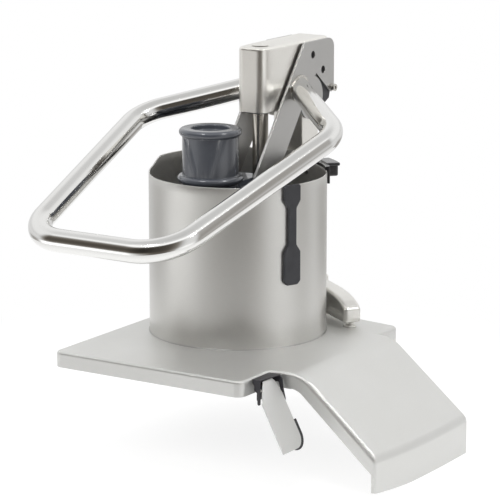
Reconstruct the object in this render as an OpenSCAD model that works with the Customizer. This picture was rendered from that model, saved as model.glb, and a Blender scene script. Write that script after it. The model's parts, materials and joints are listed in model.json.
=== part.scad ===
// Lever operated feed head of a vegetable cutter, in millimetres, +Z up.
// The origin is on the hopper's axis, in the plane of the lid rim's lower edge.
// The handle bar is at -Y, the discharge chute at +X, the post at +Y.

/* [Lid] */
// Height of the lid with its turned-down rim
lid_h = 17.5; // [14:0.5:24]
// Thickness of the lid's sheet
lid_t = 2; // [1.5:0.1:2.5]
// Distance from the hopper's axis to the lid's left edge
lid_left = 116; // [112:1:124]
// Distance from the hopper's axis to the lid's front edge
lid_front = 194; // [185:1:205]
// Distance from the hopper's axis to the lid's right edge in front of the notch
lid_right = 128; // [124:1:132]
// Distance from the hopper's axis to the lid's rear edge
lid_rear = 107; // [105:0.5:109]
// Distance from the hopper's axis to the lid's right edge at the rear
lid_right_rear = 144; // [140:1:150]
// Radius of the lid's outer corners
lid_corner_r = 10; // [6:1:14]

/* [Chute] */
// Distance from the hopper's axis to the chute's front wall
chute_front = 134; // [125:1:140]
// Distance from the hopper's axis to the chute's rear wall
chute_rear = 64; // [55:1:70]
// Distance from the hopper's axis to the chute's end face
chute_reach = 257; // [245:1:265]
// Slope of the chute's roof below the horizontal
chute_slope = 41; // [36:1:44]
// Drop of the roof's end below the lid's top
chute_drop = 78; // [70:1:84]
// Outer radius of the bend between the lid and the roof
chute_bend_r = 40; // [30:1:50]
// Depth of the chute's side walls, square to the roof
chute_wall_h = 17; // [12:1:22]
// Height of the end face at its corners
chute_end_h = 38; // [32:1:44]
// How much lower the end face is in its middle
chute_end_sag = 5; // [2:0.5:8]

/* [Hopper] */
// Outer diameter of the hopper
hopper_d = 200; // [196:1:203]
// Wall of the hopper
hopper_wall = 1.5; // [1.2:0.1:2]
// Height of the hopper's low rim above the lid
hopper_h = 181; // [177:1:185]
// How far the raised part of the rim stands above the low part
rim_rise = 10.5; // [8:0.5:12]
// Depth of the hopper's foot below the lid's top
hopper_foot = 8; // [6:0.5:10]
// Width of the ring under the lid that holds the hopper
foot_ring_w = 4; // [3:0.5:4.5]

/* [Post and yoke] */
// Gap between the hopper and the post
post_gap = 6; // [5:0.5:8]
// Width of the post, side to side
post_w = 40; // [37:0.5:41]
// Depth of the post, front to rear
post_d = 36; // [33:0.5:38]
// Wall of the post
post_wall = 3; // [2:0.5:4]
// Distance from the hopper's axis to the middle of the yoke's arms
yoke_r = 127.5; // [125:0.5:130]
// Width of the yoke's arms
yoke_arm_w = 19; // [16:0.5:21]
// Height of an arm's end
yoke_end_h = 18.5; // [16:0.5:21]
// Height of the yoke at the post
yoke_h = 34; // [31:0.5:37]
// Angle of an arm's end from the sideways axis
yoke_end_a = 37; // [34:1:40]
// Height of the round pads under the yoke
pad_h = 4; // [3:0.5:5]
// Diameter of the round pads under the yoke
pad_d = 15; // [13:0.5:17]
// Width of the yoke's block behind the hopper
yoke_block_w = 64; // [60:1:68]
// Diameter of the spindle that the post turns on
spindle_d = 28; // [26:0.5:30]
// Diameter of the bore through the hinge barrel
hinge_bore = 12; // [10:0.5:14]
// Outer diameter of the hinge barrel
hinge_d = 24; // [22:0.5:26]

/* [Head casing] */
// Width of the casing between the side plates
casing_w = 38; // [36:0.5:39]
// Height of the casing
casing_h = 74.5; // [72:0.5:78]
// Wall of the casing
casing_wall = 2; // [1.5:0.1:2.5]
// Distance from the rod's axis to the casing's front
casing_front = 23; // [21:0.5:24]
// Distance from the pivot to the casing's rear
casing_rear = 47; // [44:0.5:50]
// Radius of the casing's upright corners
casing_r = 5; // [3:0.5:7]
// Diameter of the guide rod
rod_d = 18; // [16:0.5:19]
// Distance of the guide rod behind the hopper's axis
rod_y = 47; // [46:0.5:48]

/* [Handle] */
// Height of the handle's pivot above the lid
pivot_h = 251.6; // [249:0.2:254]
// Diameter of the pivot shaft
pivot_d = 12; // [10:0.5:13]
// Outer diameter of the handle's tube
tube_d = 25; // [22:0.5:26]
// Wall of the handle's tube
tube_wall = 2; // [1.5:0.1:2.5]
// Slope of the handle's loop below the horizontal at rest
loop_tilt = 18.4; // [16:0.2:20]
// Height of the loop's plane above the pivot, square to the plane
loop_rise = 22.5; // [21:0.5:24]
// Distance along the loop from the pivot to the ends of the tube
loop_root = 22; // [20:0.5:24]
// Distance along the loop from the pivot to its widest place
loop_mid = 118.5; // [114:0.5:122]
// Distance along the loop from the pivot to the front bar
loop_reach = 402.5; // [390:0.5:410]
// Half the loop's width at its widest place, at the tube's centre
loop_mid_w = 130; // [127:0.5:133]
// Half the loop's width at the front bar, at the corners of its centre line
loop_bar_w = 89; // [84:0.5:94]
// Radius of the loop's bends at the tube's centre
loop_bend_r = 50; // [44:1:54]
// Thickness of the side plates
plate_t = 3; // [2.5:0.1:3.2]
// Gap between the casing and each side plate
plate_gap = 4; // [3.6:0.1:4.2]
// Radius of the side plates around the pivot
plate_disc_r = 25; // [23:0.2:25.5]
// Width of the crank arm at the bottom of each side plate
crank_w = 40.3; // [38:0.1:41]
// Slope of the crank arm below the horizontal at rest
crank_slope = 52.8; // [52:0.1:53.6]
// Distance from the pivot to the crank roller
crank_r = 139.5; // [139:0.1:141]
// Slope of the line from the pivot to the crank roller at rest
crank_rest_a = 40; // [39.5:0.1:40.2]
// Diameter of the crank rollers
roller_d = 9; // [8:0.1:9.4]
// Diameter of the holes through the side plates
plate_hole_d = 8.5; // [7:0.1:9]

/* [Pusher] */
// Gap under the pusher plate at rest, above the lid's top
pusher_rest = 6; // [5:0.5:8]
// Gap that the raised pusher leaves above the low rim
pusher_clear = 3; // [2:0.5:4]
// Gap between the pusher plate and the hopper all round
pusher_gap = 2.5; // [2:0.1:3.5]
// Thickness of the pusher plate
pusher_t = 6; // [5:0.5:8]
// Distance of the small feed tube in front of the hopper's axis
feed_y = 55.6; // [55:0.1:56.5]
// Bore of the small feed tube
feed_bore = 56; // [54:0.5:56.5]
// Wall of the small feed tube
feed_wall = 3; // [2.5:0.1:3]
// Height of the small feed tube's top above the lid
feed_top = 177; // [176:0.2:178]
// Play of the crank rollers up and down in their slots
slot_play = 4; // [3.6:0.1:4.4]

/* [Small pusher] */
// Diameter of the small pusher's grip
grip_d = 65; // [62:0.5:67]
// Diameter of the small pusher's lower flange
grip_flange_d = 74.6; // [72:0.2:75]
// Diameter of the small pusher's top lip
grip_lip_d = 70.6; // [68:0.2:72]
// Height of the small pusher above its feed tube
grip_h = 61.5; // [58:0.5:64]
// Lift of the small pusher out of its tube
small_lift = 150; // [120:5:165]

/* [Latch] */
// Width of the latch lever
latch_w = 42.4; // [40:0.2:44]
// Length of the latch lever
latch_len = 79; // [74:1:90]
// Angle that the latch lever stands out from the upright
latch_open = 27.5; // [22:0.5:32]

/* [Hidden] */
$fn = 96;
// Turns of the small faces of hulls and rounded lips
small_fn = 32;
// Overrun of all cuts
eps = 1;
// Clearance of parts that are fixed in one another
fit = 0.15;
// Radial clearance of parts that turn or slide in one another
run = 0.05;
// Clearance between moving faces
gap = 0.4;

lid_top = lid_h;
hopper_r = hopper_d / 2;
hopper_ir = hopper_r - hopper_wall;
rim_z = lid_top + hopper_h;
raised_z = rim_z + rim_rise;
post_y = hopper_r + post_gap + post_d / 2;
post_front = hopper_r + post_gap;

// The pivot lies a little behind the post's front wall
pivot_back = 10;
pivot_y = post_front + pivot_back;
pivot_z = lid_top + pivot_h;
// The casing's underside below the pivot
casing_below = 8.6;
casing_z = pivot_z - casing_below;
casing_top = casing_z + casing_h;
casing_y0 = rod_y - casing_front;
casing_y1 = pivot_y + casing_rear;
// The casing's rear is cut away below this height over the pivot
casing_step_up = 14.4;
casing_step_z = pivot_z + casing_step_up;
casing_step_y = post_front + post_d;

plate_in = casing_w / 2 + plate_gap;
plate_out = plate_in + plate_t;

// The crank at rest and raised, and the stroke that it gives
stroke = hopper_h + pusher_clear - pusher_rest;
crank_y0 = pivot_y - crank_r * cos(crank_rest_a);
crank_z0 = pivot_z - crank_r * sin(crank_rest_a);
crank_up_a = asin(stroke / crank_r - sin(crank_rest_a));
lift_a = crank_rest_a + crank_up_a;
crank_y1 = pivot_y - crank_r * cos(crank_up_a);
crank_ym = pivot_y - crank_r;
echo(stroke = stroke, lift_a = lift_a, ratio = stroke / (lift_a * PI / 180));
echo(pivot_y = pivot_y, pivot_z = pivot_z, casing_top = casing_top);

pusher_z = lid_top + pusher_rest;
pusher_r = hopper_ir - pusher_gap;
feed_z = lid_top + feed_top;
feed_or = feed_bore / 2 + feed_wall;
slot_h = roller_d + 2 * slot_play;
slot_end_gap = 1;
slot_y0 = crank_ym - roller_d / 2 - slot_end_gap;
slot_y1 = max(crank_y0, crank_y1) + roller_d / 2 + slot_end_gap;
cheek_gap = 1;
cheek_out = plate_in - cheek_gap;
cheek_t = 5;
cheek_in = cheek_out - cheek_t;

// Small shapes that several pieces share

// A box given by its least and its greatest corner
module span(a, b) {
  translate(a) cube([b[0] - a[0], b[1] - a[1], b[2] - a[2]]);
}

// A flat rectangle with round corners, given by two corners
module round_rect(a, b, r) {
  translate([a[0] + r, a[1]]) square([b[0] - a[0] - 2 * r, b[1] - a[1]]);
  translate([a[0], a[1] + r]) square([b[0] - a[0], b[1] - a[1] - 2 * r]);
  for (x = [a[0] + r, b[0] - r], y = [a[1] + r, b[1] - r]) {
    translate([x, y]) circle(r);
  }
}

// The web that rounds an inner corner, pointing to -X -Y
module inner_fillet(r) {
  difference() {
    translate([-eps, -eps]) square(r + eps);
    translate([r, r]) circle(r);
  }
}

module ring(ro, ri, z0, z1) {
  translate([0, 0, z0]) difference() {
    cylinder(h = z1 - z0, r = ro);
    translate([0, 0, -eps]) cylinder(h = z1 - z0 + 2 * eps, r = ri);
  }
}

// A sector of a ring about the hopper's axis, between two angles
module sector(ro, ri, z0, z1, a0, a1) {
  translate([0, 0, z0]) rotate([0, 0, a0])
    rotate_extrude(angle = a1 - a0) translate([ri, 0]) square([ro - ri, z1 - z0]);
}

// A cylinder along X about the point (y, z)
module along_x(d, x0, x1, y, z) {
  translate([x0, y, z]) rotate([0, 90, 0]) cylinder(h = x1 - x0, d = d);
}

// A flat shape drawn in Y and Z, between two values of X
module yz_plate(x0, x1) {
  translate([x0, 0, 0]) rotate([90, 0, 90]) linear_extrude(x1 - x0) children();
}

// A flat shape drawn in X and Z, between two values of Y
module xz_plate(y0, y1) {
  translate([0, y1, 0]) rotate([90, 0, 0]) linear_extrude(y1 - y0) children();
}

// Points along an arc about c from one angle to another, in steps of about arc_step
function arc(c, r, a0, a1) =
  let (n = ceil(abs(a1 - a0) / arc_step))
  [for (i = [0:n]) c + r * [cos(a0 + (a1 - a0) * i / n), sin(a0 + (a1 - a0) * i / n)]];
arc_step = 6;

module both_sides() {
  children();
  mirror([1, 0, 0]) children();
}

// Lid

// The point where the flat lid and the sloping roof would meet
fold_x = chute_reach - chute_drop / tan(chute_slope);
bend_run = chute_bend_r * tan(chute_slope / 2);
bend_x = fold_x - bend_run;

// The lid's outline, drawn smaller by d all round
module lid_outline(d) {
  round_rect([-lid_left + d, -lid_front + d], [lid_right - d, lid_rear - d], lid_corner_r - d);
  round_rect([0, chute_rear - lid_corner_r], [lid_right_rear - d, lid_rear - d], lid_corner_r - d);
  translate([0, -chute_front + d]) square([bend_x, chute_front + chute_rear - 2 * d]);
  translate([lid_right - d, -chute_front + d]) mirror([0, 1]) inner_fillet(lid_corner_r + d);
}

// The chute's roof seen from the front, as an outer line drawn smaller by d
module chute_side(d) {
  intersection() {
    translate([bend_x, lid_top - chute_bend_r]) circle(chute_bend_r - d);
    translate([bend_x, lid_top - chute_bend_r])
      polygon([[0, 0], [0, 2 * chute_bend_r],
        [2 * chute_bend_r * sin(chute_slope), 2 * chute_bend_r * cos(chute_slope)]]);
  }
}

// The slab of the roof between the bend and the end face
module roof_slab(d0, d1) {
  len = (chute_reach - fold_x) / cos(chute_slope) - bend_run;
  translate([fold_x, lid_top]) rotate(-chute_slope)
    translate([bend_run, -d1]) square([len, d1 - d0]);
}

module roof_profile(depth) {
  difference() {
    union() {
      difference() {
        chute_side(0);
        translate([bend_x, lid_top - chute_bend_r]) circle(chute_bend_r - depth);
      }
      roof_slab(0, depth);
    }
    translate([chute_reach, 0]) translate([0, -lid_front]) square(2 * lid_front);
  }
}

roof_end_z = lid_top - chute_drop;
end_arc_half = (chute_front + chute_rear) / 2;
end_arc_r = (pow(end_arc_half, 2) + pow(chute_end_sag, 2)) / (2 * chute_end_sag);
chute_mid_y = (chute_rear - chute_front) / 2;

// The end face, whose lower edge is an arc
module chute_end() {
  intersection() {
    span([chute_reach - lid_t, -chute_front, roof_end_z - chute_end_h - chute_end_sag],
      [chute_reach, chute_rear, roof_end_z + lid_t]);
    along_x(2 * end_arc_r, chute_reach - 2 * lid_t, chute_reach + lid_t, chute_mid_y,
      roof_end_z - chute_end_h - chute_end_sag + end_arc_r);
  }
  for (y = [-chute_front, chute_rear - lid_t]) {
    span([chute_reach - end_return, y, roof_end_z - chute_end_h],
      [chute_reach, y + lid_t, roof_end_z + lid_t]);
  }
}
// The end face's sides are turned back by this much
end_return = 5;

module lid_shell() {
  color("silver") difference() {
    union() {
      translate([0, 0, lid_top - lid_t]) linear_extrude(lid_t) lid_outline(0);
      difference() {
        linear_extrude(lid_h) lid_outline(0);
        translate([0, 0, -eps]) linear_extrude(lid_h + 2 * eps) lid_outline(lid_t);
        span([bend_x - lid_t - eps, -chute_front + lid_t, -eps],
          [chute_reach, chute_rear - lid_t, lid_h + eps]);
      }
      xz_plate(-chute_front, chute_rear) roof_profile(lid_t);
      for (y = [-chute_front, chute_rear - lid_t]) {
        xz_plate(y, y + lid_t) roof_profile(chute_wall_h);
      }
      chute_end();
    }
    translate([0, 0, -eps]) cylinder(h = lid_h + 2 * eps, r = hopper_r + fit);
    for (s = [-1, 1]) {
      translate([s * pad_x, pad_y, -eps]) cylinder(h = lid_h + 2 * eps, d = yoke_screw_d + 2 * fit);
      along_x(latch_rivet_d + 2 * fit, lid_right - lid_t - eps, lid_right + eps,
        latch_y + s * latch_rivet_s, lid_top - latch_rivet_low);
    }
  }
}

// Hopper

module hopper_foot_ring() {
  color("lightgray") ring(hopper_r + foot_ring_w, hopper_r + fit,
    lid_top - lid_t - foot_ring_t, lid_top - lid_t);
}
foot_ring_t = 2;

// The rim's rise on the left begins and ends at these shares of the radius
rise_shares = [-0.58, -0.3, -0.09];
right_rise_shares = [0.86, 0.93];

module hopper_shell() {
  color("gainsboro") difference() {
    ring(hopper_r, hopper_ir, lid_top - hopper_foot, raised_z);
    yz_plate(-hopper_r - eps, 0) polygon([
      [-hopper_r - eps, rim_z], [rise_shares[0] * hopper_r, rim_z],
      [rise_shares[1] * hopper_r, rim_z + rim_rise / 4],
      [rise_shares[2] * hopper_r, raised_z],
      [rise_shares[2] * hopper_r, raised_z + eps], [-hopper_r - eps, raised_z + eps]]);
    yz_plate(0, hopper_r + eps) polygon([
      [-hopper_r - eps, rim_z], [right_rise_shares[0] * hopper_r, rim_z],
      [right_rise_shares[1] * hopper_r, raised_z],
      [right_rise_shares[1] * hopper_r, raised_z + eps], [-hopper_r - eps, raised_z + eps]]);
    for (a = [stud_a, rivet_a0, rivet_a1]) {
      z = a == stud_a ? [strap_stud_z0, strap_stud_z1] : [rivet_z, rivet_z];
      for (k = z) {
        rotate([0, 0, a]) translate([hopper_ir - eps, 0, k]) rotate([0, 90, 0])
          cylinder(h = hopper_wall + 2 * eps, d = rivet_d + 2 * fit);
      }
    }
  }
}

// The catch at the rim, behind and to the right of the hopper
catch_low = 22;
catch_top = 5;
catch_skin = 3;
catch_a0 = 35;
catch_a1 = 74;
// The lip over the rim ends before the rim rises
lip_a0 = 36;
lip_a1 = 57;
lip_h = 4;
// The block that stands out of the catch
block_a0 = 44;
block_a1 = 60;
catch_block_w = 20;
catch_block_h = 17;
catch_block_top = 6;
rivet_a0 = 40;
rivet_a1 = 70;
rivet_low = 11;
rivet_z = rim_z - rivet_low;
rivet_d = 4;
rivet_head_d = 7;

module rim_catch() {
  r = hopper_r + gap;
  color("dimgray") difference() {
    union() {
      sector(r + catch_skin, r, rim_z - catch_low, rim_z + catch_top, catch_a0, catch_a1);
      sector(r + catch_skin / 2, hopper_ir - gap, rim_z + gap, rim_z + gap + lip_h, lip_a0, lip_a1);
      sector(r + catch_block_w, r + catch_skin / 2, rim_z + catch_block_top - catch_block_h,
        rim_z + catch_block_top, block_a0, block_a1);
    }
    for (a = [rivet_a0, rivet_a1]) {
      rotate([0, 0, a]) translate([hopper_r - eps, 0, rivet_z]) rotate([0, 90, 0])
        cylinder(h = catch_skin + 2 * eps, d = rivet_d + 2 * fit);
    }
  }
}

module rim_catch_rivets() {
  color("silver") for (a = [rivet_a0, rivet_a1]) {
    rotate([0, 0, a]) translate([hopper_ir, 0, rivet_z]) rotate([0, 90, 0]) {
      translate([0, 0, -rivet_head_t - fit]) cylinder(h = rivet_head_t, d = rivet_head_d);
      translate([0, 0, -rivet_head_t]) cylinder(h = rivet_head_t + hopper_wall + catch_skin, d = rivet_d);
    }
  }
}
rivet_head_t = 1;

// The rubber strap on the hopper's side, beside the handle
strap_a = -24;
strap_w = 25;
strap_neck_w = 11;
strap_t = 4;
strap_proud = 1;
strap_top = rim_z + strap_proud;
strap_pad_h = 18;
strap_taper = 8;
strap_neck_up = 115;
strap_neck_z0 = lid_top + strap_neck_up;
strap_low_up = 70;
strap_low = lid_top + strap_low_up;
strap_chamfer = 4;
strap_stud_z0 = strap_low + strap_pad_h;
strap_stud_z1 = strap_top - strap_pad_h / 2;
stud_a = strap_a;

module strap_outline() {
  w = strap_w / 2;
  n = strap_neck_w / 2;
  c = strap_chamfer;
  side = [
    [w - c, strap_low], [w, strap_low + c], [w, strap_neck_z0 - strap_taper],
    [n, strap_neck_z0], [n, strap_top - strap_pad_h - strap_taper],
    [w, strap_top - strap_pad_h], [w, strap_top - c / 2], [w - c / 2, strap_top]
  ];
  polygon(concat(side, [for (i = [len(side) - 1:-1:0]) [-side[i][0], side[i][1]]]));
}

module rubber_strap() {
  color("dimgray") difference() {
    intersection() {
      ring(hopper_r + gap + strap_t, hopper_r + gap, strap_low - eps, strap_top + eps);
      rotate([0, 0, strap_a]) yz_plate(hopper_r / 2, hopper_r + 2 * strap_t) strap_outline();
    }
    for (z = [strap_stud_z0, strap_stud_z1]) {
      rotate([0, 0, stud_a]) translate([hopper_ir, 0, z]) rotate([0, 90, 0])
        cylinder(h = hopper_wall + stud_in + fit, d = rivet_d + 2 * fit);
    }
  }
}
// The studs stop inside the strap
stud_in = 2.6;

module strap_studs() {
  color("silver") for (z = [strap_stud_z0, strap_stud_z1]) {
    rotate([0, 0, stud_a]) translate([hopper_ir, 0, z]) rotate([0, 90, 0]) {
      translate([0, 0, -rivet_head_t - fit]) cylinder(h = rivet_head_t, d = rivet_head_d);
      translate([0, 0, -rivet_head_t]) cylinder(h = rivet_head_t + hopper_wall + stud_in, d = rivet_d);
    }
  }
}

// Rear yoke and post

yoke_z = lid_top + pad_h;
pad_x = yoke_r * cos(yoke_end_a);
pad_y = yoke_r * sin(yoke_end_a);
yoke_in = yoke_r - yoke_arm_w / 2;
yoke_out = yoke_r + yoke_arm_w / 2;
yoke_screw_d = 6;
yoke_screw_in = 12;
yoke_screw_head_d = 10;
yoke_screw_head_t = 4;
block_wall = 14;
block_behind = 2;
yoke_clear = 1;
block_y0 = hopper_r + gap + block_behind;
block_y1 = post_y + spindle_d / 2 + block_wall;
block_r = 8;
bush_wall = 3;
bush_h = 28;
hinge_overlap = 7;
hinge_drop = 2;
hinge_y = block_y1 + hinge_d / 2 - hinge_overlap;
hinge_z = yoke_z - hinge_drop;
spindle_screw_d = 8;
spindle_screw_head_d = 13;
spindle_screw_head_t = 6;

// The arms rise towards the post
module yoke_side_profile() {
  end_z = yoke_z + yoke_end_h;
  polygon([
    [0, yoke_z - eps], [0, end_z], [pad_y + block_r, end_z],
    [hopper_r + post_gap + block_r, yoke_z + yoke_h], [2 * hopper_r, yoke_z + yoke_h],
    [2 * hopper_r, yoke_z - eps]]);
}

module rear_yoke() {
  color("darkgray") difference() {
    union() {
      intersection() {
        union() {
          sector(yoke_out, yoke_in, yoke_z, yoke_z + yoke_h, yoke_end_a, 180 - yoke_end_a);
          for (s = [-1, 1]) {
            translate([s * pad_x, pad_y, yoke_z]) cylinder(h = yoke_h, d = yoke_arm_w);
          }
        }
        yz_plate(-2 * hopper_r, 2 * hopper_r) yoke_side_profile();
      }
      translate([0, 0, yoke_z]) linear_extrude(yoke_h)
        round_rect([-yoke_block_w / 2, block_y0], [yoke_block_w / 2, block_y1], block_r);
      along_x(hinge_d, -yoke_block_w / 2, yoke_block_w / 2, hinge_y, hinge_z);
      span([-yoke_block_w / 2, block_y1 - block_wall, yoke_z],
        [yoke_block_w / 2, hinge_y, hinge_z + hinge_d / 2]);
    }
    along_x(hinge_bore, -yoke_block_w, yoke_block_w, hinge_y, hinge_z);
    translate([0, post_y, yoke_z + yoke_h - bush_h])
      cylinder(h = bush_h + eps, d = spindle_d + 2 * bush_wall + 2 * fit);
    translate([0, post_y, yoke_z - eps]) cylinder(h = yoke_h, d = spindle_screw_d + 2 * fit);
    translate([0, 0, lid_top - eps]) cylinder(h = yoke_h + pad_h + 2 * eps, r = hopper_r + gap + yoke_clear);
    for (s = [-1, 1]) {
      translate([s * pad_x, pad_y, yoke_z - eps])
        cylinder(h = yoke_screw_in + eps, d = yoke_screw_d + 2 * fit);
    }
  }
}

module yoke_pads() {
  color("darkgray") for (s = [-1, 1]) {
    translate([s * pad_x, pad_y, lid_top]) difference() {
      cylinder(h = pad_h, d = pad_d);
      translate([0, 0, -eps]) cylinder(h = pad_h + 2 * eps, d = yoke_screw_d + 2 * fit);
    }
  }
}

module yoke_screws() {
  color("silver") for (s = [-1, 1]) {
    translate([s * pad_x, pad_y, lid_top - lid_t]) {
      translate([0, 0, -yoke_screw_head_t]) cylinder(h = yoke_screw_head_t, d = yoke_screw_head_d);
      translate([0, 0, -yoke_screw_head_t / 2])
        cylinder(h = yoke_screw_head_t / 2 + lid_t + pad_h + yoke_screw_in - gap, d = yoke_screw_d);
    }
  }
}

module spindle_bush() {
  color("goldenrod") translate([0, post_y, 0])
    ring(spindle_d / 2 + bush_wall, spindle_d / 2 + run, yoke_z + yoke_h - bush_h, yoke_z + yoke_h);
}

// The post stands just clear of the yoke on its spindle
post_z = yoke_z + yoke_h + gap;
post_top = casing_z - fit;
foot_plate_t = 6;

module post_spindle() {
  color("silver") translate([0, post_y, 0]) difference() {
    union() {
      translate([0, 0, yoke_z + yoke_h - bush_h + gap]) cylinder(h = bush_h, d = spindle_d);
      span([-post_w / 2 + post_wall + fit, -post_d / 2 + post_wall + fit, post_z],
        [post_w / 2 - post_wall - fit, post_d / 2 - post_wall - fit, post_z + foot_plate_t]);
    }
    translate([0, 0, yoke_z]) cylinder(h = yoke_h - block_r, d = spindle_screw_d + 2 * fit);
  }
}

module spindle_screw() {
  color("silver") translate([0, post_y, yoke_z]) {
    translate([0, 0, -spindle_screw_head_t]) cylinder(h = spindle_screw_head_t, d = spindle_screw_head_d);
    translate([0, 0, -eps]) cylinder(h = yoke_h - block_r - gap + eps, d = spindle_screw_d);
  }
}

module rear_post() {
  color("lightgray") difference() {
    translate([0, 0, post_z]) linear_extrude(post_top - post_z)
      round_rect([-post_w / 2, post_front], [post_w / 2, post_front + post_d], post_wall);
    span([-post_w / 2 + post_wall, post_front + post_wall, post_z - eps],
      [post_w / 2 - post_wall, post_front + post_d - post_wall, post_top + eps]);
  }
}

// The block that joins the post to the casing and holds the pivot shaft
head_down = 40;
head_up = 20;
head_block_w = post_w / 2 - post_wall - fit;
head_inner_w = casing_w / 2 - casing_wall - fit;

module post_head_block() {
  color("gray") difference() {
    union() {
      span([-head_block_w, post_front + post_wall + fit, casing_z - head_down],
        [head_block_w, post_front + post_d - post_wall - fit, casing_z]);
      span([-min(head_inner_w, head_block_w), post_front + post_wall + fit, casing_z - eps],
        [min(head_inner_w, head_block_w), post_front + pivot_back + head_up, casing_z + head_up]);
    }
    along_x(pivot_d + 2 * fit, -post_w, post_w, pivot_y, pivot_z);
    for (z = casing_screw_z) {
      along_x(casing_screw_d + 2 * fit, -post_w, post_w, casing_screw_y, z);
    }
  }
}
casing_screw_d = 5;
casing_screw_back = 18;
casing_screw_y = pivot_y + casing_screw_back;
casing_screw_z = [casing_z + head_up / 2];
casing_screw_head_d = 8.5;

module casing_screws() {
  color("silver") both_sides() for (z = casing_screw_z) {
    along_x(casing_screw_d, eps, casing_w / 2, casing_screw_y, z);
    along_x(casing_screw_head_d, casing_w / 2 - casing_wall, casing_w / 2, casing_screw_y, z);
  }
}

// Head casing and its rod guide

sleeve_wall = 2;
bush_len = 15;
guide_wall = 4;
sleeve_r = rod_d / 2 + guide_wall + sleeve_wall;

// The casing seen from the side, drawn smaller by d
module casing_side(d) {
  polygon([
    [casing_y0 + d, casing_z + d], [casing_step_y - d, casing_z + d],
    [casing_step_y - d, casing_step_z + d], [casing_y1 - d, casing_step_z + d],
    [casing_y1 - d, casing_top - d], [casing_y0 + d, casing_top - d]]);
}

module casing_solid(d, r) {
  intersection() {
    yz_plate(-casing_w / 2 + d, casing_w / 2 - d) casing_side(d);
    translate([0, 0, casing_z - eps]) linear_extrude(casing_h + 2 * eps)
      round_rect([-casing_w / 2 + d, casing_y0 + d], [casing_w / 2 - d, casing_y1 - d], r);
  }
}

module head_casing() {
  color("gainsboro") difference() {
    casing_solid(0, casing_r);
    casing_solid(casing_wall, casing_r - casing_wall);
    translate([0, rod_y, casing_z - eps]) cylinder(h = casing_h + 2 * eps, r = sleeve_r + fit);
    along_x(pivot_d + 2 * fit, -casing_w, casing_w, pivot_y, pivot_z);
    span([-head_inner_w - fit, post_front + post_wall, casing_z - eps],
      [head_inner_w + fit, post_front + pivot_back + head_up + fit, casing_z + casing_wall + eps]);
    for (z = casing_screw_z) {
      along_x(casing_screw_head_d + 2 * fit, -casing_w, casing_w, casing_screw_y, z);
    }
  }
}

module guide_sleeve() {
  color("silver") translate([0, rod_y, 0])
    ring(sleeve_r, sleeve_r - sleeve_wall, casing_z, casing_top);
}

module guide_bushes() {
  color("white") translate([0, rod_y, 0]) for (z = [casing_z, casing_top - bush_len]) {
    ring(sleeve_r - sleeve_wall - fit, rod_d / 2 + run, z, z + bush_len);
  }
}

// Handle

module pivot_shaft() {
  color("silver") along_x(pivot_d, -plate_out - ring_t - gap, plate_out + ring_t + gap,
    pivot_y, pivot_z);
}
ring_t = 1.4;
pivot_bush_wall = 2.5;
pivot_bush_flange = 2;

// Side plate outline, in Y and Z from the pivot
plate_top = casing_top - pivot_z;
plate_rear = 50;
plate_top_r = 12;
lobe_r = 5;
lobe_y = plate_rear - lobe_r;
lobe_z = 6;
notch_slope = 38.3;
notch_len = 40;
// The strip's end stops short of the feed tube's flange
crank_end_back = 3;
crank_nose_r = 9.5;

module plate_outline() {
  along = [cos(crank_slope), sin(crank_slope)];
  across = [-along[1], along[0]];
  pin = [crank_y0 - pivot_y, crank_z0 - pivot_z];
  // The arm's two corners
  end_1 = pin + crank_end_back * along + crank_w / 2 * across;
  end_2 = pin + crank_end_back * along - crank_w / 2 * across;
  top_y = end_1[0] + (plate_top - end_1[1]) / tan(crank_slope);
  notch = [lobe_y - lobe_r * sin(notch_slope), lobe_z - lobe_r * cos(notch_slope)];
  tip = notch + notch_len * [-cos(notch_slope), sin(notch_slope)];
  // Where the disc round the pivot meets the notch's inner end and the arm's rear edge
  disc_0 = atan2(tip[1] - notch_tip_w, tip[0] - notch_tip_w);
  disc_1 = crank_slope + 90 + acos((pin * across - crank_w / 2) / plate_disc_r);
  polygon(concat(
    [[top_y, plate_top]],
    arc([plate_rear - plate_top_r, plate_top - plate_top_r], plate_top_r, 90, 0),
    arc([lobe_y, lobe_z], lobe_r, 0, -90 - notch_slope),
    [tip],
    arc([0, 0], plate_disc_r, disc_0, disc_1 - 360),
    [end_2],
    arc(pin, crank_nose_r, crank_slope + 180 + nose_half, crank_slope + 180 - nose_half),
    [end_1]));
}
// Half of the angle that the arm's round nose turns through
nose_half = 62;
notch_tip_w = 2.4;
hole_1 = [3, 48.8];
hole_2 = [25.5, 29.2];
pad_screw_d = 5;

module side_plate() {
  color("silver") difference() {
    translate([0, pivot_y, pivot_z]) yz_plate(plate_in, plate_out) plate_outline();
    along_x(pivot_d + 2 * pivot_bush_wall + 2 * fit, plate_in - eps, plate_out + eps,
      pivot_y, pivot_z);
    along_x(stud_d + 2 * fit, plate_in - eps, plate_out + eps, crank_y0, crank_z0);
    along_x(pad_screw_d + 2 * fit, plate_in - eps, plate_out + eps,
      pivot_y + lobe_y, pivot_z + lobe_z);
    for (h = [hole_1, hole_2]) {
      along_x(plate_hole_d, plate_in - eps, plate_out + eps, pivot_y + h[0], pivot_z + h[1]);
    }
  }
}

module side_plate_right() {
  side_plate();
}

module side_plate_left() {
  mirror([1, 0, 0]) side_plate();
}

module pivot_bushes() {
  color("white") both_sides() difference() {
    union() {
      along_x(pivot_d + 2 * pivot_bush_wall, plate_in - fit, plate_out, pivot_y, pivot_z);
      along_x(pivot_d + 2 * pivot_bush_wall + 2 * pivot_bush_flange,
        plate_in - pivot_bush_flange, plate_in - fit, pivot_y, pivot_z);
    }
    along_x(pivot_d + 2 * run, 0, 2 * plate_out, pivot_y, pivot_z);
  }
}

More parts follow.
